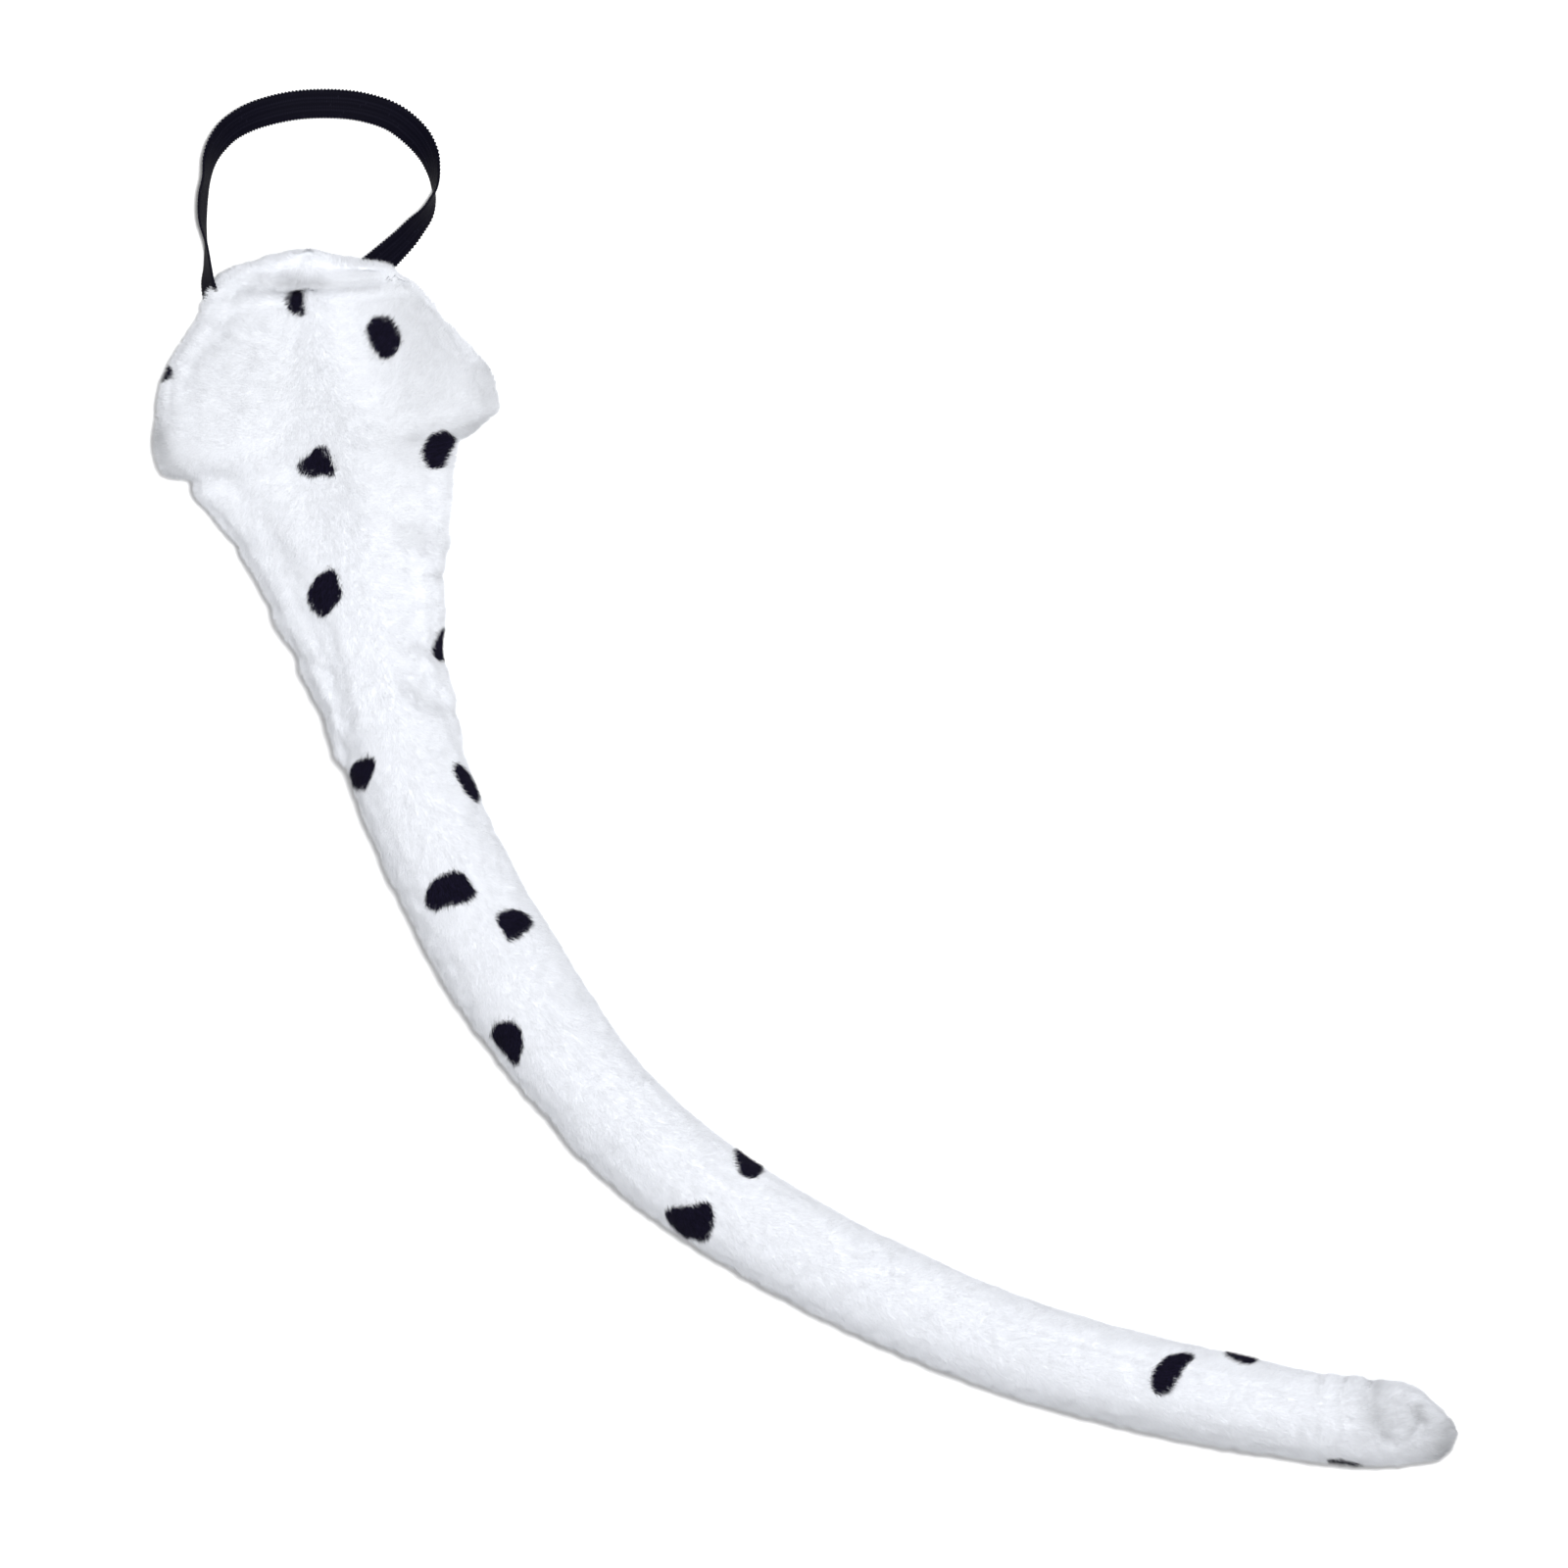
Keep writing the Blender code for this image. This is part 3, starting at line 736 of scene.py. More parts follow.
    def round_end(self, ring: np.ndarray, way: np.ndarray, reach: float) -> np.ndarray:
        """Rings that close an end with a rounded cap.

        Args:
            ring: The last ring of the sides.
            way: Direction in which the cap bulges, on the floor plane.
            reach: How far it bulges.

        Returns:
            The cap's rings, from the sides to the pole.
        """
        centre = ring.mean(axis=0)
        toward = np.array([way[0], way[1], 0.0]) * reach
        turns = np.linspace(0.0, 0.49 * pi, self.cap_rings + 1)[1:]
        return np.stack([centre + (ring - centre) * cos(turn) + toward * sin(turn)
                         for turn in turns])

    def without_slots(self, lengths: np.ndarray) -> np.ndarray:
        """Close the narrow slots that the elastic needs in the solids.

        Args:
            lengths: Ray lengths, ring by ring.

        Returns:
            The lengths with narrow pits filled.
        """
        shifts = [np.roll(np.roll(lengths, i, axis=0), j, axis=1)
                  for i in (-4, -2, 0, 2, 4) for j in (-3, -1, 0, 1, 3)]
        middle = np.median(shifts, axis=0)
        middle[:5] = lengths[:5]
        middle[-5:] = lengths[-5:]
        return np.where(lengths < self.pit_share * middle, middle, lengths)

    def relax(self, times: int) -> None:
        """Round off the solids' facets without shrinking the shape.

        Args:
            times: How often each point moves in and nearly as far out again.
        """
        for _ in range(times):
            for step in (0.50, -0.52):
                near = self.places.copy()
                near[1:-1] = (self.places[:-2] + self.places[2:]) / 2.0
                side = (np.roll(self.places, 1, axis=1) + np.roll(self.places, -1, axis=1)) / 2.0
                self.places = self.places + step * ((near + side) / 2.0 - self.places)

    def find_outward(self) -> None:
        """Work out the outward direction at each point."""
        along = np.gradient(self.places, axis=0)
        around = np.roll(self.places, -1, axis=1) - np.roll(self.places, 1, axis=1)
        outward = np.cross(around, along)
        outward /= np.maximum(np.linalg.norm(outward, axis=2, keepdims=True), 1e-12)
        if outward[len(outward) // 2, 0, 2] < 0.0:
            outward = -outward
        self.outward = outward

    def press(self) -> None:
        """Press in the seam, the casing's stitching, the folds and soft lumps."""
        self.find_outward()
        facing = self.outward[:, :, 2].reshape(-1)
        flat = self.places.reshape(-1, 3)
        depth = np.zeros(len(flat))
        for crease in CREASES:
            depth += crease.press(flat[:, :2])
        depth *= upper_share(facing)
        lumps = np.array([sum(lump.height * noise.noise(Vector(place) * lump.grain)
                              for lump in LUMPS) for place in flat])
        depth += lumps * MM * upper_share(facing, offset=1.2)
        back_seam = smooth_line(PHOTO.metres(list(self.middle)), 4)
        away = distance_to_line(flat[:, :2], back_seam) / self.back_seam_width
        under = np.clip(-facing, 0.0, 1.0)
        depth += self.back_seam_depth * np.exp(-away * away) * under
        depth += self.pile_height
        moved = flat - self.outward.reshape(-1, 3) * depth[:, None]
        moved[:, 2] = np.maximum(moved[:, 2], self.floor_gap)
        self.places = moved.reshape(self.places.shape)
        self.find_outward()

    def nudge(self) -> None:
        """Move stretches of the outline to where the photograph shows them."""
        flat = self.places.reshape(-1, 3)
        moves = np.zeros((len(flat), 2))
        for nudge in NUDGES:
            moves += nudge.move(flat[:, :2])
        flat[:, :2] += moves
        self.places = flat.reshape(self.places.shape)

    def build(self, nodes: list[str]) -> None:
        """Measure the solids and shape the surface.

        Args:
            nodes: The solids that make up the outside.
        """
        self.measure(nodes)
        self.relax(self.relax_times)
        self.nudge()
        self.find_outward()
        moves = Swell().offsets(self.places, self.outward)
        self.places += self.outward * moves[:, :, None]
        self.press()
        self.relax(1)
        self.find_outward()


@dataclass(frozen=True)
class Spot:
    """One near-black spot of the plush, charted by its outline.

    Args:
        outline: The outline's points in the photograph.
        way: The side of the tail that it lies on.
    """

    outline: tuple[tuple[float, float], ...]
    way: Way = Way.FRONT

    def covers(self, places: np.ndarray, facing: np.ndarray) -> np.ndarray:
        """Whether places on the surface lie in the spot.

        Args:
            places: Rows of x, y and z.
            facing: Upward part of the outward direction at each place.

        Returns:
            One truth value for each place.
        """
        curve = round_corners(PHOTO.metres(list(self.outline)))
        low = curve.min(axis=0)
        high = curve.max(axis=0)
        side = facing > -0.35 if self.way is Way.FRONT else facing < -0.2
        near = np.all((places[:, :2] >= low) & (places[:, :2] <= high), axis=1) & side
        covered = np.zeros(len(places), bool)
        if near.any():
            covered[near] = inside_outline(places[near][:, :2], curve)
        return covered


SPOTS = (
    Spot(((304, 294), (310, 296), (312, 321), (304, 321), (291, 310), (295, 299))),
    Spot(((379, 324), (397, 326), (405, 337), (408, 350), (406, 358), (397, 369), (387, 370),
          (379, 361), (373, 347), (371, 337))),
    Spot(((156, 372), (172, 371), (180, 378), (179, 387), (170, 391), (154, 390))),
    Spot(((325, 452), (334, 452), (338, 465), (344, 486), (330, 482), (320, 485), (309, 483),
          (303, 473), (307, 467), (317, 462))),
    Spot(((451, 437), (460, 441), (463, 451), (457, 463), (449, 478), (440, 481), (430, 474),
          (427, 463), (432, 449), (440, 441))),
    Spot(((336, 578), (343, 580), (346, 590), (350, 601), (349, 609), (341, 620), (332, 628),
          (322, 623), (316, 613), (315, 603), (324, 586))),
    Spot(((449, 636), (462, 642), (466, 656), (462, 674), (446, 674), (437, 663), (441, 652))),
    Spot(((378, 768), (385, 772), (384, 783), (376, 801), (372, 804), (362, 802), (356, 792),
          (360, 778), (369, 771))),
    Spot(((461, 776), (469, 778), (484, 799), (488, 818), (480, 815), (471, 807), (467, 797),
          (459, 787))),
    Spot(((461, 885), (472, 888), (479, 899), (486, 910), (477, 919), (459, 922), (442, 928),
          (434, 919), (434, 906), (446, 891))),
    Spot(((501, 932), (514, 926), (532, 927), (543, 941), (534, 950), (518, 962), (512, 952))),
    Spot(((519, 1037), (531, 1044), (535, 1059), (530, 1081), (525, 1086), (515, 1073),
          (501, 1058), (500, 1046), (508, 1039))),
    Spot(((678, 1230), (691, 1227), (703, 1228), (718, 1222), (726, 1229), (727, 1246),
          (722, 1264), (713, 1264), (697, 1261), (685, 1250), (677, 1239))),
    Spot(((745, 1168), (758, 1174), (778, 1190), (772, 1200), (763, 1203), (753, 1199),
          (748, 1188))),
    Spot(((1219, 1383), (1203, 1380), (1185, 1385), (1173, 1397), (1170, 1410), (1175, 1422),
          (1190, 1421), (1199, 1407), (1208, 1392))),
    Spot(((1246, 1374), (1263, 1376), (1286, 1382), (1278, 1391), (1266, 1394), (1246, 1385))),
    Spot(((1350, 1486), (1368, 1487), (1394, 1495), (1380, 1502), (1354, 1500))),
    Spot(((262, 330), (278, 326), (290, 340), (286, 358), (270, 362), (258, 348)), Way.BACK),
    Spot(((404, 396), (420, 392), (430, 406), (424, 422), (408, 424), (398, 412)), Way.BACK),
    Spot(((268, 448), (284, 442), (298, 456), (292, 474), (276, 476), (264, 464)), Way.BACK),
    Spot(((386, 540), (400, 536), (410, 550), (404, 568), (390, 570), (380, 556)), Way.BACK),
    Spot(((348, 640), (362, 634), (374, 650), (368, 668), (352, 668), (342, 656)), Way.BACK),
    Spot(((420, 744), (434, 740), (444, 756), (436, 772), (422, 770), (412, 758)), Way.BACK),
    Spot(((414, 862), (430, 858), (438, 874), (430, 890), (416, 888), (406, 876)), Way.BACK),
    Spot(((536, 986), (552, 984), (558, 1000), (550, 1014), (536, 1012), (528, 998)), Way.BACK),
    Spot(((604, 1116), (620, 1110), (634, 1124), (628, 1142), (612, 1144), (600, 1130)), Way.BACK),
    Spot(((796, 1252), (814, 1250), (824, 1264), (814, 1278), (798, 1276), (788, 1264)), Way.BACK),
    Spot(((926, 1338), (944, 1336), (952, 1350), (942, 1362), (926, 1360), (918, 1350)), Way.BACK),
    Spot(((1076, 1372), (1092, 1370), (1102, 1382), (1094, 1396), (1078, 1394)), Way.BACK),
    Spot(((1330, 1436), (1348, 1434), (1356, 1448), (1346, 1462), (1330, 1458)), Way.BACK),
)


def in_spots(places: np.ndarray, facing: np.ndarray) -> np.ndarray:
    """Whether places on the surface lie in any spot.

    Args:
        places: Rows of x, y and z.
        facing: Upward part of the outward direction at each place.

    Returns:
        One truth value for each place.
    """
    covered = np.zeros(len(places), bool)
    for spot in SPOTS:
        covered |= spot.covers(places, facing)
    return covered


@dataclass(frozen=True)
class PlushFinish:
    """Short plush: white or near-black, with a soft sheen.

    Args:
        name: The material's name.
        white: Colour of the ground.
        black: Colour of the spots.
        bump: Depth of the fine unevenness, in metres.
        bump_strength: Share of that unevenness which shows.
        mottle_scale: How often the soft patches repeat in a metre.
        mottle_amount: How far the soft patches vary the colour.
        roughness: Roughness of the pile.
        sheen: Weight of the sheen.
        sheen_roughness: Roughness of the sheen.
        specular: Level of the mirror-like part.
    """

    name: str
    white: tuple[float, float, float] = (0.735, 0.752, 0.790)
    black: tuple[float, float, float] = (0.0036, 0.0030, 0.0085)
    bump: float = 0.00025
    bump_strength: float = 0.5
    mottle_scale: float = 90.0
    mottle_amount: float = 0.05
    roughness: float = 0.9
    sheen: float = 0.02
    sheen_roughness: float = 0.5
    specular: float = 0.06

    def material(self, mottle: bpy.types.NodeTree) -> bpy.types.Material:
        """Make the material.

        Args:
            mottle: The shared group that varies a colour over the surface.

        Returns:
            The material.
        """
        finish = new_finish(self.name, {
            "Roughness": self.roughness, "Metallic": 0.0, "Sheen Weight": self.sheen,
            "Sheen Roughness": self.sheen_roughness, "Specular IOR Level": self.specular})
        tree = finish.node_tree
        shader = tree.nodes["Principled BSDF"]
        spot = tree.nodes.new("ShaderNodeAttribute")
        spot.attribute_name = "spot"
        # The shade attribute carries each place's random tone and its painted shade.
        shade = tree.nodes.new("ShaderNodeAttribute")
        shade.attribute_name = "shade"
        mix = tree.nodes.new("ShaderNodeMix")
        mix.data_type = "RGBA"
        mix.inputs["A"].default_value = (*self.white, 1.0)
        mix.inputs["B"].default_value = (*self.black, 1.0)
        tree.links.new(spot.outputs["Fac"], mix.inputs["Factor"])
        group = tree.nodes.new("ShaderNodeGroup")
        group.node_tree = mottle
        group.inputs["Scale"].default_value = self.mottle_scale
        group.inputs["Amount"].default_value = self.mottle_amount
        group.inputs["Bump"].default_value = self.bump
        tree.links.new(mix.outputs["Result"], group.inputs["Color"])
        tree.links.new(shade.outputs["Fac"], group.inputs["Shade"])
        tree.links.new(group.outputs["Color"], shader.inputs["Base Color"])
        bump = tree.nodes.new("ShaderNodeBump")
        bump.inputs["Strength"].default_value = self.bump_strength
        bump.inputs["Distance"].default_value = 1.0
        tree.links.new(group.outputs["Height"], bump.inputs["Height"])
        tree.links.new(bump.outputs["Normal"], shader.inputs["Normal"])
        return finish


def mottle_group() -> bpy.types.NodeTree:
    """The shared group that varies a colour softly and gives a fine unevenness.

    Returns:
        The node group, with Color, Shade, Scale, Amount and Bump as inputs.
    """
    group = bpy.data.node_groups.new("soft_mottle", "ShaderNodeTree")
    for name, kind, value in (("Color", "NodeSocketColor", (0.8, 0.8, 0.8, 1.0)),
                              ("Shade", "NodeSocketFloat", 1.0), ("Scale", "NodeSocketFloat", 90.0),
                              ("Amount", "NodeSocketFloat", 0.05), ("Bump", "NodeSocketFloat", 0.0002)):
        socket = group.interface.new_socket(name, in_out="INPUT", socket_type=kind)
        socket.default_value = value
    group.interface.new_socket("Color", in_out="OUTPUT", socket_type="NodeSocketColor")
    group.interface.new_socket("Height", in_out="OUTPUT", socket_type="NodeSocketFloat")
    start = group.nodes.new("NodeGroupInput")
    end = group.nodes.new("NodeGroupOutput")
    where = group.nodes.new("ShaderNodeTexCoord")
    patches = group.nodes.new("ShaderNodeTexNoise")
    patches.inputs["Detail"].default_value = 4.0
    fine = group.nodes.new("ShaderNodeTexNoise")
    fine.inputs["Scale"].default_value = 1400.0
    fine.inputs["Detail"].default_value = 2.0
    group.links.new(where.outputs["Object"], patches.inputs["Vector"])
    group.links.new(where.outputs["Object"], fine.inputs["Vector"])
    group.links.new(start.outputs["Scale"], patches.inputs["Scale"])
    centred = group.nodes.new("ShaderNodeMath")
    centred.operation = "SUBTRACT"
    centred.inputs[1].default_value = 0.5
    group.links.new(patches.outputs["Fac"], centred.inputs[0])
    varied = group.nodes.new("ShaderNodeMath")
    varied.operation = "MULTIPLY_ADD"
    group.links.new(centred.outputs["Value"], varied.inputs[0])
    group.links.new(start.outputs["Amount"], varied.inputs[1])
    group.links.new(start.outputs["Shade"], varied.inputs[2])
    tint = group.nodes.new("ShaderNodeVectorMath")
    tint.operation = "SCALE"
    group.links.new(start.outputs["Color"], tint.inputs[0])
    group.links.new(varied.outputs["Value"], tint.inputs["Scale"])
    group.links.new(tint.outputs["Vector"], end.inputs["Color"])
    height = group.nodes.new("ShaderNodeMath")
    height.operation = "MULTIPLY"
    group.links.new(fine.outputs["Fac"], height.inputs[0])
    group.links.new(start.outputs["Bump"], height.inputs[1])
    group.links.new(height.outputs["Value"], end.inputs["Height"])
    return group


@dataclass
class PlushSkin:
    """The cloth's backing: one closed skin for the two panels.

    Args:
        body: The measured surface.
        piece: The finished skin.
        tone: Brightness of the backing beside the pile's.
        fill: How full the stuffing is; not used.
    """

    body: TailBody
    piece: bpy.types.Object = None
    tone: float = 0.97
    fill: float = 0.8

    def build(self) -> None:
        """Skin the lattice, mark the spots on it and paint shade into its brightness."""
        mesh = grid_mesh("plush_skin", self.body.places)
        count = len(mesh.vertices)
        places = np.zeros(count * 3)
        mesh.vertices.foreach_get("co", places)
        facing = np.zeros(count * 3)
        mesh.vertices.foreach_get("normal", facing)
        places = places.reshape(-1, 3)
        upward = facing.reshape(-1, 3)[:, 2]
        add_layer(mesh, "spot", in_spots(places, upward))
        # The shade layer is painted shade: the backing darkened in the creases and where it turns from
        # the light.
        add_layer(mesh, "shade", self.tone * painted_shade_factor(places[:, :2], upward))
        self.piece = link_mesh("plush_skin", mesh)

    def dress(self, finish: bpy.types.Material) -> None:
        """Give the skin its finish and its place in the frame.

        Args:
            finish: The plush material.
        """
        self.piece.data.materials.append(finish)
        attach(self.piece, "root")
        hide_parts("left_panel", "right_panel", "stuffing")
        LOG.info("plush_skin: %d faces", len(self.piece.data.polygons))


@dataclass(frozen=True)
class Comb:
    """The way that the pile lies at one share of the tail's length.

    Args:
        along: Share of the length.
        left: Degrees that it turns outwards on the left half.
        right: Degrees that it turns outwards on the right half.
    """

    along: float
    left: float
    right: float


COMBS = (
    Comb(0.00, 88.0, 125.0),
    Comb(0.11, 84.0, 122.0),
    Comb(0.16, 50.0, 95.0),
    Comb(0.22, 22.0, 50.0),
    Comb(0.35, 14.0, 26.0),
    Comb(0.60, 10.0, 20.0),
    Comb(1.00, 10.0, 16.0),
)


@dataclass
class Pile:
    """The short pile, as joined tapering strands in a few pieces.

    Args:
        body: The measured surface.
        pieces: How many pieces the pile is split into along the tail.
        strands: Strands in each piece.
        length: Usual length of a strand.
        width: Width of a strand at its root.
        lean: Degrees that a strand stands off the cloth.
        back_share: How dense the pile is on the side lain on.
        rise: How far the strands' shading turns upwards.
        length_range: Least and most of the usual length.
        width_range: Least and most of the usual width.
        turn_spread: Spread of a strand's turn, in radians.
        lean_spread: Spread of a strand's lean, in degrees.
        shading_spread: Spread of the strands' shading.
        clump_grain: How often the clumps repeat in a metre.
        clump_turn: Turn that a clump adds, in radians.
        clump_lean: Lean that a clump adds, in degrees.
        clump_shade: Brightness that a clump adds.
        shade_range: Least and most brightness of a white strand.
        dark_range: Least and most further brightness of a dark strand.
        spot_blur: Unevenness of the spots' edges.
        sunk: How deep a root sits in the backing.
        floor_gap: How far a tip keeps off the floor.
        seed: Start of the random draws.
        made: The finished pieces.
    """

    body: TailBody
    pieces: int = 5
    strands: int = 160000
    length: float = 2.6 * MM
    width: float = 0.17 * MM
    lean: float = 27.0
    back_share: float = 0.4
    rise: float = 0.75
    length_range: tuple[float, float] = (0.65, 1.15)
    width_range: tuple[float, float] = (0.7, 1.2)
    turn_spread: float = 0.22
    lean_spread: float = 8.0
    shading_spread: float = 0.10
    clump_grain: float = 260.0
    clump_turn: float = 0.5
    clump_lean: float = 14.0
    clump_shade: float = 0.035
    shade_range: tuple[float, float] = (0.915, 1.035)
    dark_range: tuple[float, float] = (0.4, 3.0)
    spot_blur: float = 0.18 * MM
    sunk: float = 0.15 * MM
    floor_gap: float = 0.05 * MM
    seed: int = 7
    made: list[bpy.types.Object] = field(default_factory=list)

    def weights(self) -> np.ndarray:
        """How likely a strand is to grow in each cell of the lattice.

        Returns:
            One weight for each cell.
        """
        places = self.body.places
        along = places[1:] - places[:-1]
        around = np.roll(places, -1, axis=1) - places
        area = np.linalg.norm(np.cross(along, around[:-1]), axis=2)
        facing = self.body.outward[:-1, :, 2]
        share = np.where(facing < -0.5, self.back_share, 1.0)
        return area * share

    def roots(self, rng: np.random.Generator, rows: np.ndarray,
              weights: np.ndarray) -> tuple[np.ndarray, np.ndarray]:
        """Draw the strands' places on the lattice.

        Args:
            rng: The random draws.
            rows: The lattice rows that this piece covers.
            weights: Weight of each cell in those rows.

        Returns:
            Row and column of each root, with fractions.
        """
        flat = weights.reshape(-1)
        picks = rng.choice(len(flat), size=self.strands, p=flat / flat.sum())
        row = rows[picks // weights.shape[1]] + rng.random(self.strands)
        column = picks % weights.shape[1] + rng.random(self.strands)
        return row, column

    def read(self, table: np.ndarray, row: np.ndarray, column: np.ndarray) -> np.ndarray:
        """Read a lattice between its points.

        Args:
            table: Values at the lattice's points.
            row: Rows with fractions.
            column: Columns with fractions.

        Returns:
            The values there.
        """
        r = np.minimum(row.astype(int), table.shape[0] - 2)
        c = column.astype(int) % table.shape[1]
        d = (c + 1) % table.shape[1]
        u = (row - r)[:, None]
        v = (column - column.astype(int))[:, None]
        return ((table[r, c] * (1 - v) + table[r, d] * v) * (1 - u)
                + (table[r + 1, c] * (1 - v) + table[r + 1, d] * v) * u)

    def comb(self, row: np.ndarray, column: np.ndarray) -> np.ndarray:
        """Degrees that the pile turns from the tail's direction, left positive.

        Args:
            row: Rows with fractions.
            column: Columns with fractions.

        Returns:
            One angle for each root, in radians.
        """
        share = row / len(self.body.places)
        places = [comb.along for comb in COMBS]
        left = np.interp(share, places, [comb.left for comb in COMBS])
        right = np.interp(share, places, [comb.right for comb in COMBS])
        turn = column / self.body.around
        side = np.sin(2.0 * pi * turn)
        spread = np.clip(np.abs(side) / 0.35, 0.0, 1.0)
        return np.radians(np.where(side >= 0.0, left, -right) * spread)

    def build(self, finish: bpy.types.Material) -> None:
        """Make the strands, piece by piece along the tail.

        Args:
            finish: The plush material.
        """
        rng = np.random.default_rng(self.seed)
        weights = self.weights()
        reach = np.cumsum(weights.sum(axis=1))
        cuts = np.searchsorted(reach, reach[-1] * np.arange(self.pieces + 1) / self.pieces)
        cuts[-1] = len(weights)
        for number in range(self.pieces):
            rows = np.arange(cuts[number], cuts[number + 1])
            row, column = self.roots(rng, rows, weights[rows])
            self.made.append(self.strand_piece(f"pile_{number + 1}", rng, row, column, finish))

    def strand_piece(self, name: str, rng: np.random.Generator, row: np.ndarray,
                     column: np.ndarray, finish: bpy.types.Material) -> bpy.types.Object:
        """One piece of pile.

        Args:
            name: The piece's name.
            rng: The random draws.
            row: Rows of the roots.
            column: Columns of the roots.
            finish: The plush material.

        Returns:
            The piece.
        """
        count = len(row)
        root = self.read(self.body.places, row, column)
        outward = self.read(self.body.outward, row, column)
        outward /= np.linalg.norm(outward, axis=1, keepdims=True)
        clump = np.array([noise.noise(Vector(place) * self.clump_grain) for place in root])
        corners = self.corners(rng, row, column, root, outward, clump)
        mesh = self.strand_mesh(name, corners)
        self.paint(mesh, rng, root, outward[:, 2], clump)
        lit = outward + (0.0, 0.0, self.rise) + rng.normal(0.0, self.shading_spread, (count, 3))
        lit /= np.linalg.norm(lit, axis=1, keepdims=True)
        mesh.normals_split_custom_set_from_vertices(np.repeat(lit, 3, axis=0).tolist())
        piece = link_mesh(name, mesh)
        mesh.materials.append(finish)
        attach(piece, "root")
        LOG.info("%s: %d strands", name, count)
        return piece

    def corners(self, rng: np.random.Generator, row: np.ndarray, column: np.ndarray,
                root: np.ndarray, outward: np.ndarray, clump: np.ndarray) -> np.ndarray:
        """Two corners at each strand's root and one at its tip.

        Args:
            rng: The random draws.
            row: Rows of the roots.
            column: Columns of the roots.
            root: The roots' places.
            outward: The outward direction at each root.
            clump: How far each root's clump departs from the usual.

        Returns:
            Strands, corners and x, y, z.
        """
        count = len(row)
        along = self.read(np.gradient(self.body.places, axis=0), row, column)
        along -= outward * np.sum(along * outward, axis=1, keepdims=True)
        along /= np.maximum(np.linalg.norm(along, axis=1, keepdims=True), 1e-12)
        leftward = np.cross(along, outward)
        turn = self.comb(row, column) + rng.normal(0.0, self.turn_spread, count)
        turn += self.clump_turn * clump
        way = along * np.cos(turn)[:, None] + leftward * np.sin(turn)[:, None]
        lean = np.radians(self.lean + rng.normal(0.0, self.lean_spread, count)
                          + self.clump_lean * clump)
        length = self.length * rng.uniform(*self.length_range, count)
        rising = way * np.cos(lean)[:, None] + outward * np.sin(lean)[:, None]
        tip = root + rising * length[:, None]
        tip[:, 2] = np.maximum(tip[:, 2], self.floor_gap)
        beside = np.cross(outward, way)
        half = self.width / 2.0 * rng.uniform(*self.width_range, count)[:, None]
        base = root - outward * self.sunk
        return np.stack((base + beside * half, base - beside * half, tip), axis=1)

    @staticmethod
    def strand_mesh(name: str, corners: np.ndarray) -> bpy.types.Mesh:
        """A mesh with one thin triangle for each strand.

        Args:
            name: The mesh's name.
            corners: Strands, corners and x, y, z.

        Returns:
            The mesh.
        """
        count = len(corners)
        mesh = bpy.data.meshes.new(name)
        mesh.vertices.add(count * 3)
        mesh.vertices.foreach_set("co", corners.reshape(-1))
        mesh.loops.add(count * 3)
        mesh.loops.foreach_set("vertex_index", np.arange(count * 3))
        mesh.polygons.add(count)
        mesh.polygons.foreach_set("loop_start", np.arange(count) * 3)
        mesh.polygons.foreach_set("use_smooth", np.ones(count, bool))
        mesh.update(calc_edges=True)
        return mesh

    def paint(self, mesh: bpy.types.Mesh, rng: np.random.Generator, root: np.ndarray,
              facing: np.ndarray, clump: np.ndarray) -> None:
        """Mark the dark strands and give each its brightness: a random tone with painted shade laid
        over it.

        Args:
            mesh: The strands' mesh.
            rng: The random draws.
            root: The roots' places.
            facing: Upward part of the outward direction at each root.
            clump: How far each root's clump departs from the usual.
        """
        count = len(root)
        dark = in_spots(root + rng.normal(0.0, self.spot_blur, (count, 3)), facing)
        shade = rng.uniform(*self.shade_range, count) + self.clump_shade * clump
        # Painted shade: strands darkened in the creases and where the surface turns from the light.
        shade *= painted_shade_factor(root[:, :2], facing)
        shade[dark] *= rng.uniform(*self.dark_range, dark.sum())
        add_layer(mesh, "spot", np.repeat(dark, 3))
        add_layer(mesh, "shade", np.repeat(shade, 3))


@dataclass(frozen=True)
class Route:
    """One place on the elastic's middle line.

    Args:
        side: Sideways, as a share of the loop's width.
        reach: Up from the casing, as a share of the loop's reach.
        casing: Up from the casing, as a share of the casing's length.
        tilt: Degrees from lying flat with its outer edge outwards.
        lift: Rise inside the casing, as a share of its room.
    """

    side: float
    reach: float
    casing: float
    tilt: float
    lift: float


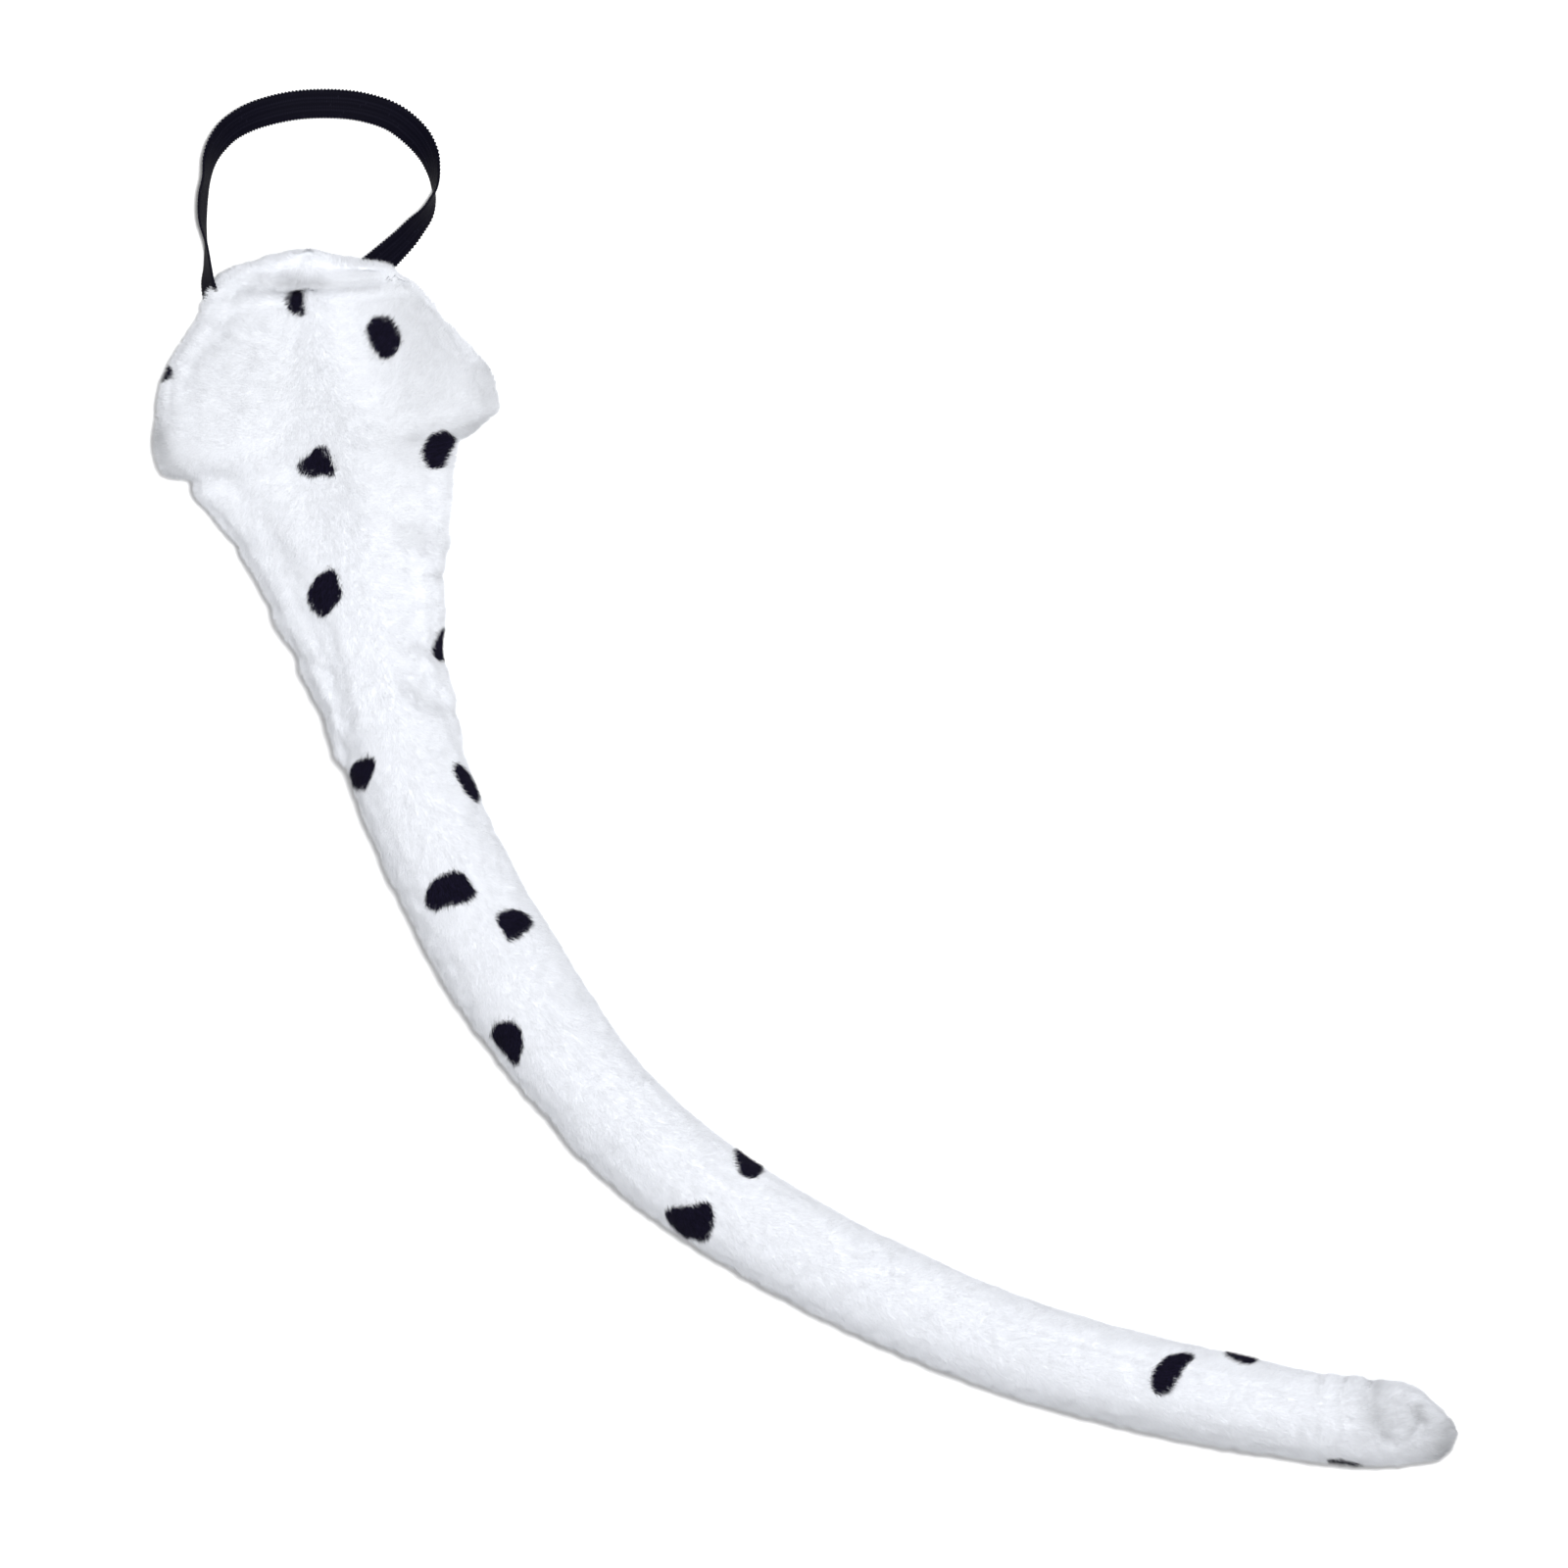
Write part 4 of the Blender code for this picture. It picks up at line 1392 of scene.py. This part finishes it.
@dataclass(frozen=True)
class ElasticFinish:
    """Woven black elastic.

    Args:
        name: The material's name.
        ground: Colour between the picks.
        pick: Colour of the raised picks, lighter than the ground as a painted highlight.
        roughness: Roughness of the yarn.
        specular: Level of the mirror-like part.
        fuzz_scale: How often the yarn's fuzz repeats in a metre.
        fuzz_depth: Depth of the fuzz, in metres.
        fuzz_strength: Share of the fuzz which shows.
    """

    name: str = "black_elastic"
    ground: tuple[float, float, float] = (0.0010, 0.0008, 0.0042)
    pick: tuple[float, float, float] = (0.0100, 0.0095, 0.0190)
    roughness: float = 0.7
    specular: float = 0.05
    fuzz_scale: float = 2600.0
    fuzz_depth: float = 0.0002
    fuzz_strength: float = 0.4

    def material(self) -> bpy.types.Material:
        """Make the material, which reads how high each point stands in the weave and paints a highlight
        on the high points.

        Returns:
            The material.
        """
        finish = new_finish(self.name, {"Roughness": self.roughness, "Metallic": 0.0,
                                        "Specular IOR Level": self.specular})
        tree = finish.node_tree
        shader = tree.nodes["Principled BSDF"]
        high = tree.nodes.new("ShaderNodeAttribute")
        high.attribute_name = "weave"
        mix = tree.nodes.new("ShaderNodeMix")
        mix.data_type = "RGBA"
        mix.inputs["A"].default_value = (*self.ground, 1.0)
        # Painted highlight: the raised picks lightened towards the pick colour.
        mix.inputs["B"].default_value = (*self.pick, 1.0)
        tree.links.new(high.outputs["Fac"], mix.inputs["Factor"])
        tree.links.new(mix.outputs["Result"], shader.inputs["Base Color"])
        where = tree.nodes.new("ShaderNodeTexCoord")
        fuzz = tree.nodes.new("ShaderNodeTexNoise")
        fuzz.inputs["Scale"].default_value = self.fuzz_scale
        tree.links.new(where.outputs["Object"], fuzz.inputs["Vector"])
        bump = tree.nodes.new("ShaderNodeBump")
        bump.inputs["Strength"].default_value = self.fuzz_strength
        bump.inputs["Distance"].default_value = self.fuzz_depth
        tree.links.new(fuzz.outputs["Fac"], bump.inputs["Height"])
        tree.links.new(bump.outputs["Normal"], shader.inputs["Normal"])
        return finish


@dataclass
class ElasticLoop:
    """The closed loop of flat woven elastic.

    Args:
        width: Width of the band.
        thickness: Thickness of the band.
        loop_width: Width that the route's shares follow.
        loop_reach: Reach that the route's shares follow.
        casing_length: Length of the casing that the route's shares follow.
        floor_height: Height over the floor that it runs at in the casing.
        room: Room above it in the casing.
        ground_gap: How far its lower edge keeps off the floor.
        tooth: Pitch of the teeth along its edges.
        tooth_depth: Depth of a tooth as a share of half the width.
        tooth_start: Share of half the width from which the teeth stand out.
        wales: Lengthwise ribs across its width.
        pick_low: Height of a rib between two picks, as a share of a pick's.
        flat_share: Share of the thickness that the relief leaves alone.
        edge_share: Share of the thickness left at the very edge.
        highlight_contrast: How sharply the picks' painted highlight stands out of the ground.
        across: Points across each face.
        along: Points along the loop.
        route: Places along its middle line.
        start: Middle of the casing's top in the photograph.
        piece: The finished band.
        length: Its length round the loop.
    """

    width: float = 10.0 * MM
    thickness: float = 1.2 * MM
    loop_width: float = 78.0 * MM
    loop_reach: float = 49.0 * MM
    casing_length: float = 12.0 * MM
    floor_height: float = 3.6 * MM
    room: float = 2.9 * MM
    ground_gap: float = 0.2 * MM
    tooth: float = 1.15 * MM
    tooth_depth: float = 0.06
    tooth_start: float = 0.9
    wales: int = 7
    pick_low: float = 0.35
    flat_share: float = 0.70
    edge_share: float = 0.25
    highlight_contrast: int = 4
    across: int = 18
    along: int = 1150
    route: tuple[Route, ...] = (
        Route(0.030, 0.00, -0.74, 180.0, 0.00),
        Route(-0.120, 0.00, -0.85, 180.0, 0.00),
        Route(-0.240, 0.00, -1.25, 165.0, 0.10),
        Route(-0.310, 0.00, -1.58, 158.0, 0.00),
        Route(-0.370, 0.00, -1.62, 145.0, 0.10),
        Route(-0.412, 0.00, -1.40, 128.0, 0.30),
        Route(-0.432, 0.00, -0.93, 117.0, 0.60),
        Route(-0.434, 0.00, -0.48, 105.0, 0.60),
        Route(-0.441, 0.04, 0.00, 92.0, 0.0),
        Route(-0.456, 0.20, 0.00, 76.0, 0.0),
        Route(-0.454, 0.36, 0.00, 72.0, 0.0),
        Route(-0.439, 0.50, 0.00, 74.0, 0.0),
        Route(-0.424, 0.625, 0.00, 62.0, 0.0),
        Route(-0.391, 0.735, 0.00, 48.0, 0.0),
        Route(-0.327, 0.847, 0.00, 34.0, 0.0),
        Route(-0.217, 0.938, 0.00, 20.0, 0.0),
        Route(-0.055, 1.000, 0.00, 9.0, 0.0),
        Route(0.110, 1.012, 0.00, 6.0, 0.0),
        Route(0.245, 0.988, 0.00, 8.0, 0.0),
        Route(0.372, 0.920, 0.00, 14.0, 0.0),
        Route(0.470, 0.800, 0.00, 24.0, 0.0),
        Route(0.527, 0.675, 0.00, 43.0, 0.0),
        Route(0.552, 0.55, 0.00, 62.0, 0.0),
        Route(0.558, 0.44, 0.00, 78.0, 0.0),
        Route(0.548, 0.35, 0.00, 100.0, 0.0),
        Route(0.521, 0.25, 0.00, 118.0, 0.0),
        Route(0.474, 0.16, 0.00, 133.0, 0.0),
        Route(0.425, 0.07, 0.00, 143.0, 0.1),
        Route(0.367, 0.00, -0.08, 153.0, 0.10),
        Route(0.302, 0.00, -0.46, 168.0, 0.00),
        Route(0.238, 0.00, -0.75, 178.0, 0.00),
        Route(0.148, 0.00, -0.83, 178.0, 0.00),
    )
    start: tuple[float, float] = (313.0, 254.0)
    piece: bpy.types.Object = None
    length: float = 0.0

    def rows(self) -> np.ndarray:
        """The route's places and tilts before it is smoothed.

        Returns:
            Rows of x, y, z and tilt, from the middle of the casing's top.
        """
        rows = []
        for row in self.route:
            tilt = radians(row.tilt)
            z = (self.ground_gap + abs(sin(tilt)) * self.width / 2.0
                 + abs(cos(tilt)) * self.thickness / 2.0)
            if row.casing < 0.0:
                z = max(self.floor_height + row.lift * self.room, z)
            rows.append((row.side * self.loop_width,
                         row.reach * self.loop_reach + row.casing * self.casing_length, z, tilt))
        return np.array(rows)

    def path(self) -> np.ndarray:
        """Even steps along the smoothed route.

        Returns:
            Rows of x, y, z and tilt.
        """
        curve = smooth_line(self.rows(), 24, closed=True)
        ring = np.concatenate((curve, curve[:1]))
        steps = np.linalg.norm(np.diff(ring[:, :3], axis=0), axis=1)
        lengths = np.concatenate(([0.0], np.cumsum(steps)))
        self.length = float(lengths[-1])
        walk = np.linspace(0.0, self.length, self.along, endpoint=False)
        return np.stack([np.interp(walk, lengths, ring[:, axis]) for axis in range(4)], axis=1)

    def build(self) -> None:
        """Weave the band: teeth along its edges, ribs and picks on its faces."""
        path = self.path()
        tangent = np.roll(path[:, :3], -1, axis=0) - np.roll(path[:, :3], 1, axis=0)
        tangent /= np.linalg.norm(tangent, axis=1, keepdims=True)
        outside = np.stack((-tangent[:, 1], tangent[:, 0], np.zeros(len(path))), axis=1)
        outside /= np.linalg.norm(outside, axis=1, keepdims=True)
        above = np.cross(tangent, outside)
        above *= np.sign(above[:, 2:3])
        tilt = path[:, 3:4]
        wide = outside * np.cos(tilt) + above * np.sin(tilt)
        thick = np.cross(tangent, wide)
        face = np.linspace(-1.0, 1.0, self.across)
        share = np.concatenate((face, face[::-1]))
        side = np.concatenate((np.ones(self.across), -np.ones(self.across)))
        phase = 2.0 * pi * round(self.length / self.tooth) * np.arange(self.along) / self.along
        relief = self.relief(phase, share)
        round_edge = np.sqrt(np.clip(1.0 - np.abs(share) ** 8, 0.0, 1.0))
        height = self.flat_share + (1.0 - self.flat_share) * relief
        half_thick = self.thickness / 2.0 * height * np.maximum(round_edge, self.edge_share)
        tooth = self.tooth_depth * np.cos(phase)[:, None] * (np.abs(share) > self.tooth_start)
        half_width = self.width / 2.0 * (1.0 + tooth) * share[None, :]
        places = (path[:, None, :3] + wide[:, None, :] * half_width[:, :, None]
                  + thick[:, None, :] * (half_thick * side[None, :])[:, :, None])
        places += np.array([*PHOTO.metres([self.start])[0], 0.0])
        mesh = grid_mesh("elastic_band", places, closed_rows=True)
        kept = np.zeros(len(mesh.vertices) * 3)
        mesh.vertices.foreach_get("co", kept)
        order = self.nearest(kept.reshape(-1, 3), places.reshape(-1, 3))
        # The weave layer marks where the material paints its highlight on the raised picks.
        add_layer(mesh, "weave", (relief ** self.highlight_contrast).reshape(-1)[order])
        self.piece = link_mesh("elastic_band", mesh)

    def relief(self, phase: np.ndarray, share: np.ndarray) -> np.ndarray:
        """How high each point of the band stands in the weave.

        Args:
            phase: Turn of the teeth at each step along the loop.
            share: Place of each point across the band, from -1 to 1.

        Returns:
            One share from 0 to 1 for each point.
        """
        rib = 0.5 + 0.5 * np.cos(pi * self.wales * (share + 1.0 / self.wales))
        stagger = np.where(np.floor((share + 1.0) * self.wales / 2.0) % 2.0 > 0.5, pi, 0.0)
        pick = 0.5 + 0.5 * np.cos(2.0 * phase[:, None] + stagger[None, :])
        return rib[None, :] * (self.pick_low + (1.0 - self.pick_low) * pick)

    @staticmethod
    def nearest(places: np.ndarray, lattice: np.ndarray) -> np.ndarray:
        """Match merged points to the lattice that they came from.

        Args:
            places: Points of the mesh.
            lattice: Points of the lattice.

        Returns:
            The lattice's index for each point.
        """
        keys = {tuple(key): number for number, key
                in enumerate(np.round(lattice / (2.0e-6)).astype(int).tolist())}
        found = []
        for key in np.round(places / (2.0e-6)).astype(int).tolist():
            number = keys.get(tuple(key))
            found.append(0 if number is None else number)
        return np.array(found)

    def dress(self, finish: bpy.types.Material) -> None:
        """Give the band its finish and its place in the frame.

        Args:
            finish: The elastic material.
        """
        self.piece.data.materials.append(finish)
        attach(self.piece, "root")
        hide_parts("elastic_loop")
        LOG.info("elastic_band: %.0f mm round", self.length / MM)


@dataclass
class Studio:
    """The pale floor, the soft light and the camera straight above.

    Args:
        distance: Height of the camera over the floor.
        level: Height of the plane that the photograph's scale holds for.
        sensor: Width of the camera's sensor in millimetres.
        photo_size: Width and height of the photograph in pixels.
        floor_size: Half the width of the floor.
        floor_tone: Brightness of the floor.
        fill: Strength of the even fill.
        key_size: Width of the key light.
        key_energy: Power of the key light.
        key_place: Place of the key light.
    """

    distance: float = 12.0
    level: float = 0.014
    sensor: float = 36.0
    photo_size: float = 1600.0
    floor_size: float = 6.0
    floor_tone: float = 0.97
    fill: float = 0.48
    key_size: float = 0.5
    key_energy: float = 105.0
    key_place: tuple[float, float, float] = (0.21, 0.21, 2.97)

    def floor(self) -> None:
        """Lay the floor."""
        work = bmesh.new()
        bmesh.ops.create_grid(work, x_segments=1, y_segments=1, size=self.floor_size)
        mesh = bpy.data.meshes.new("floor")
        work.to_mesh(mesh)
        work.free()
        piece = link_mesh("floor", mesh)
        finish = new_finish("pale_floor", {"Roughness": 0.9, "Specular IOR Level": 0.1})
        shader = finish.node_tree.nodes["Principled BSDF"]
        shader.inputs["Base Color"].default_value = (*(self.floor_tone,) * 3, 1.0)
        mesh.materials.append(finish)

    def light(self) -> None:
        """Set a wide soft light to the upper right and an even fill."""
        world = bpy.data.worlds.new("even_fill")
        world.use_nodes = True
        background = world.node_tree.nodes["Background"]
        background.inputs["Color"].default_value = (1.0, 1.0, 1.0, 1.0)
        background.inputs["Strength"].default_value = self.fill
        bpy.context.scene.world = world
        key = bpy.data.lights.new("key", "AREA")
        key.shape = "DISK"
        key.size = self.key_size
        key.energy = self.key_energy
        lamp = bpy.data.objects.new("key", key)
        lamp.location = self.key_place
        lamp.rotation_euler = (-Vector(lamp.location)).to_track_quat("-Z", "Y").to_euler()
        bpy.context.scene.collection.objects.link(lamp)

    def camera(self) -> None:
        """Hang the camera over the middle of the photograph."""
        middle = PHOTO.metres([(self.photo_size / 2.0, self.photo_size / 2.0)])[0]
        span = self.photo_size / PHOTO.px_per_mm * MM
        lens = bpy.data.cameras.new("camera")
        lens.sensor_width = self.sensor
        lens.lens = self.sensor * (self.distance - self.level) / span
        lens.clip_start = 0.1
        lens.clip_end = 50.0
        camera = bpy.data.objects.new("camera", lens)
        camera.location = (middle[0], middle[1], self.distance)
        bpy.context.scene.collection.objects.link(camera)
        bpy.context.scene.camera = camera

    def build(self) -> None:
        """Set up the studio."""
        bpy.context.scene.view_settings.view_transform = "Standard"
        self.floor()
        self.light()
        self.camera()


def main() -> None:
    """Build the tail's looks and report each piece."""
    logging.basicConfig(level=logging.INFO, format="%(name)s: %(message)s")
    Studio().build()
    mottle = mottle_group()
    plush = PlushFinish("white_plush").material(mottle)
    body = TailBody()
    body.build(["left_panel", "right_panel"])
    skin = PlushSkin(body)
    skin.build()
    skin.dress(plush)
    Pile(body).build(plush)
    elastic = ElasticLoop()
    elastic.build()
    elastic.dress(ElasticFinish().material())


if __name__ == "__main__":
    main()
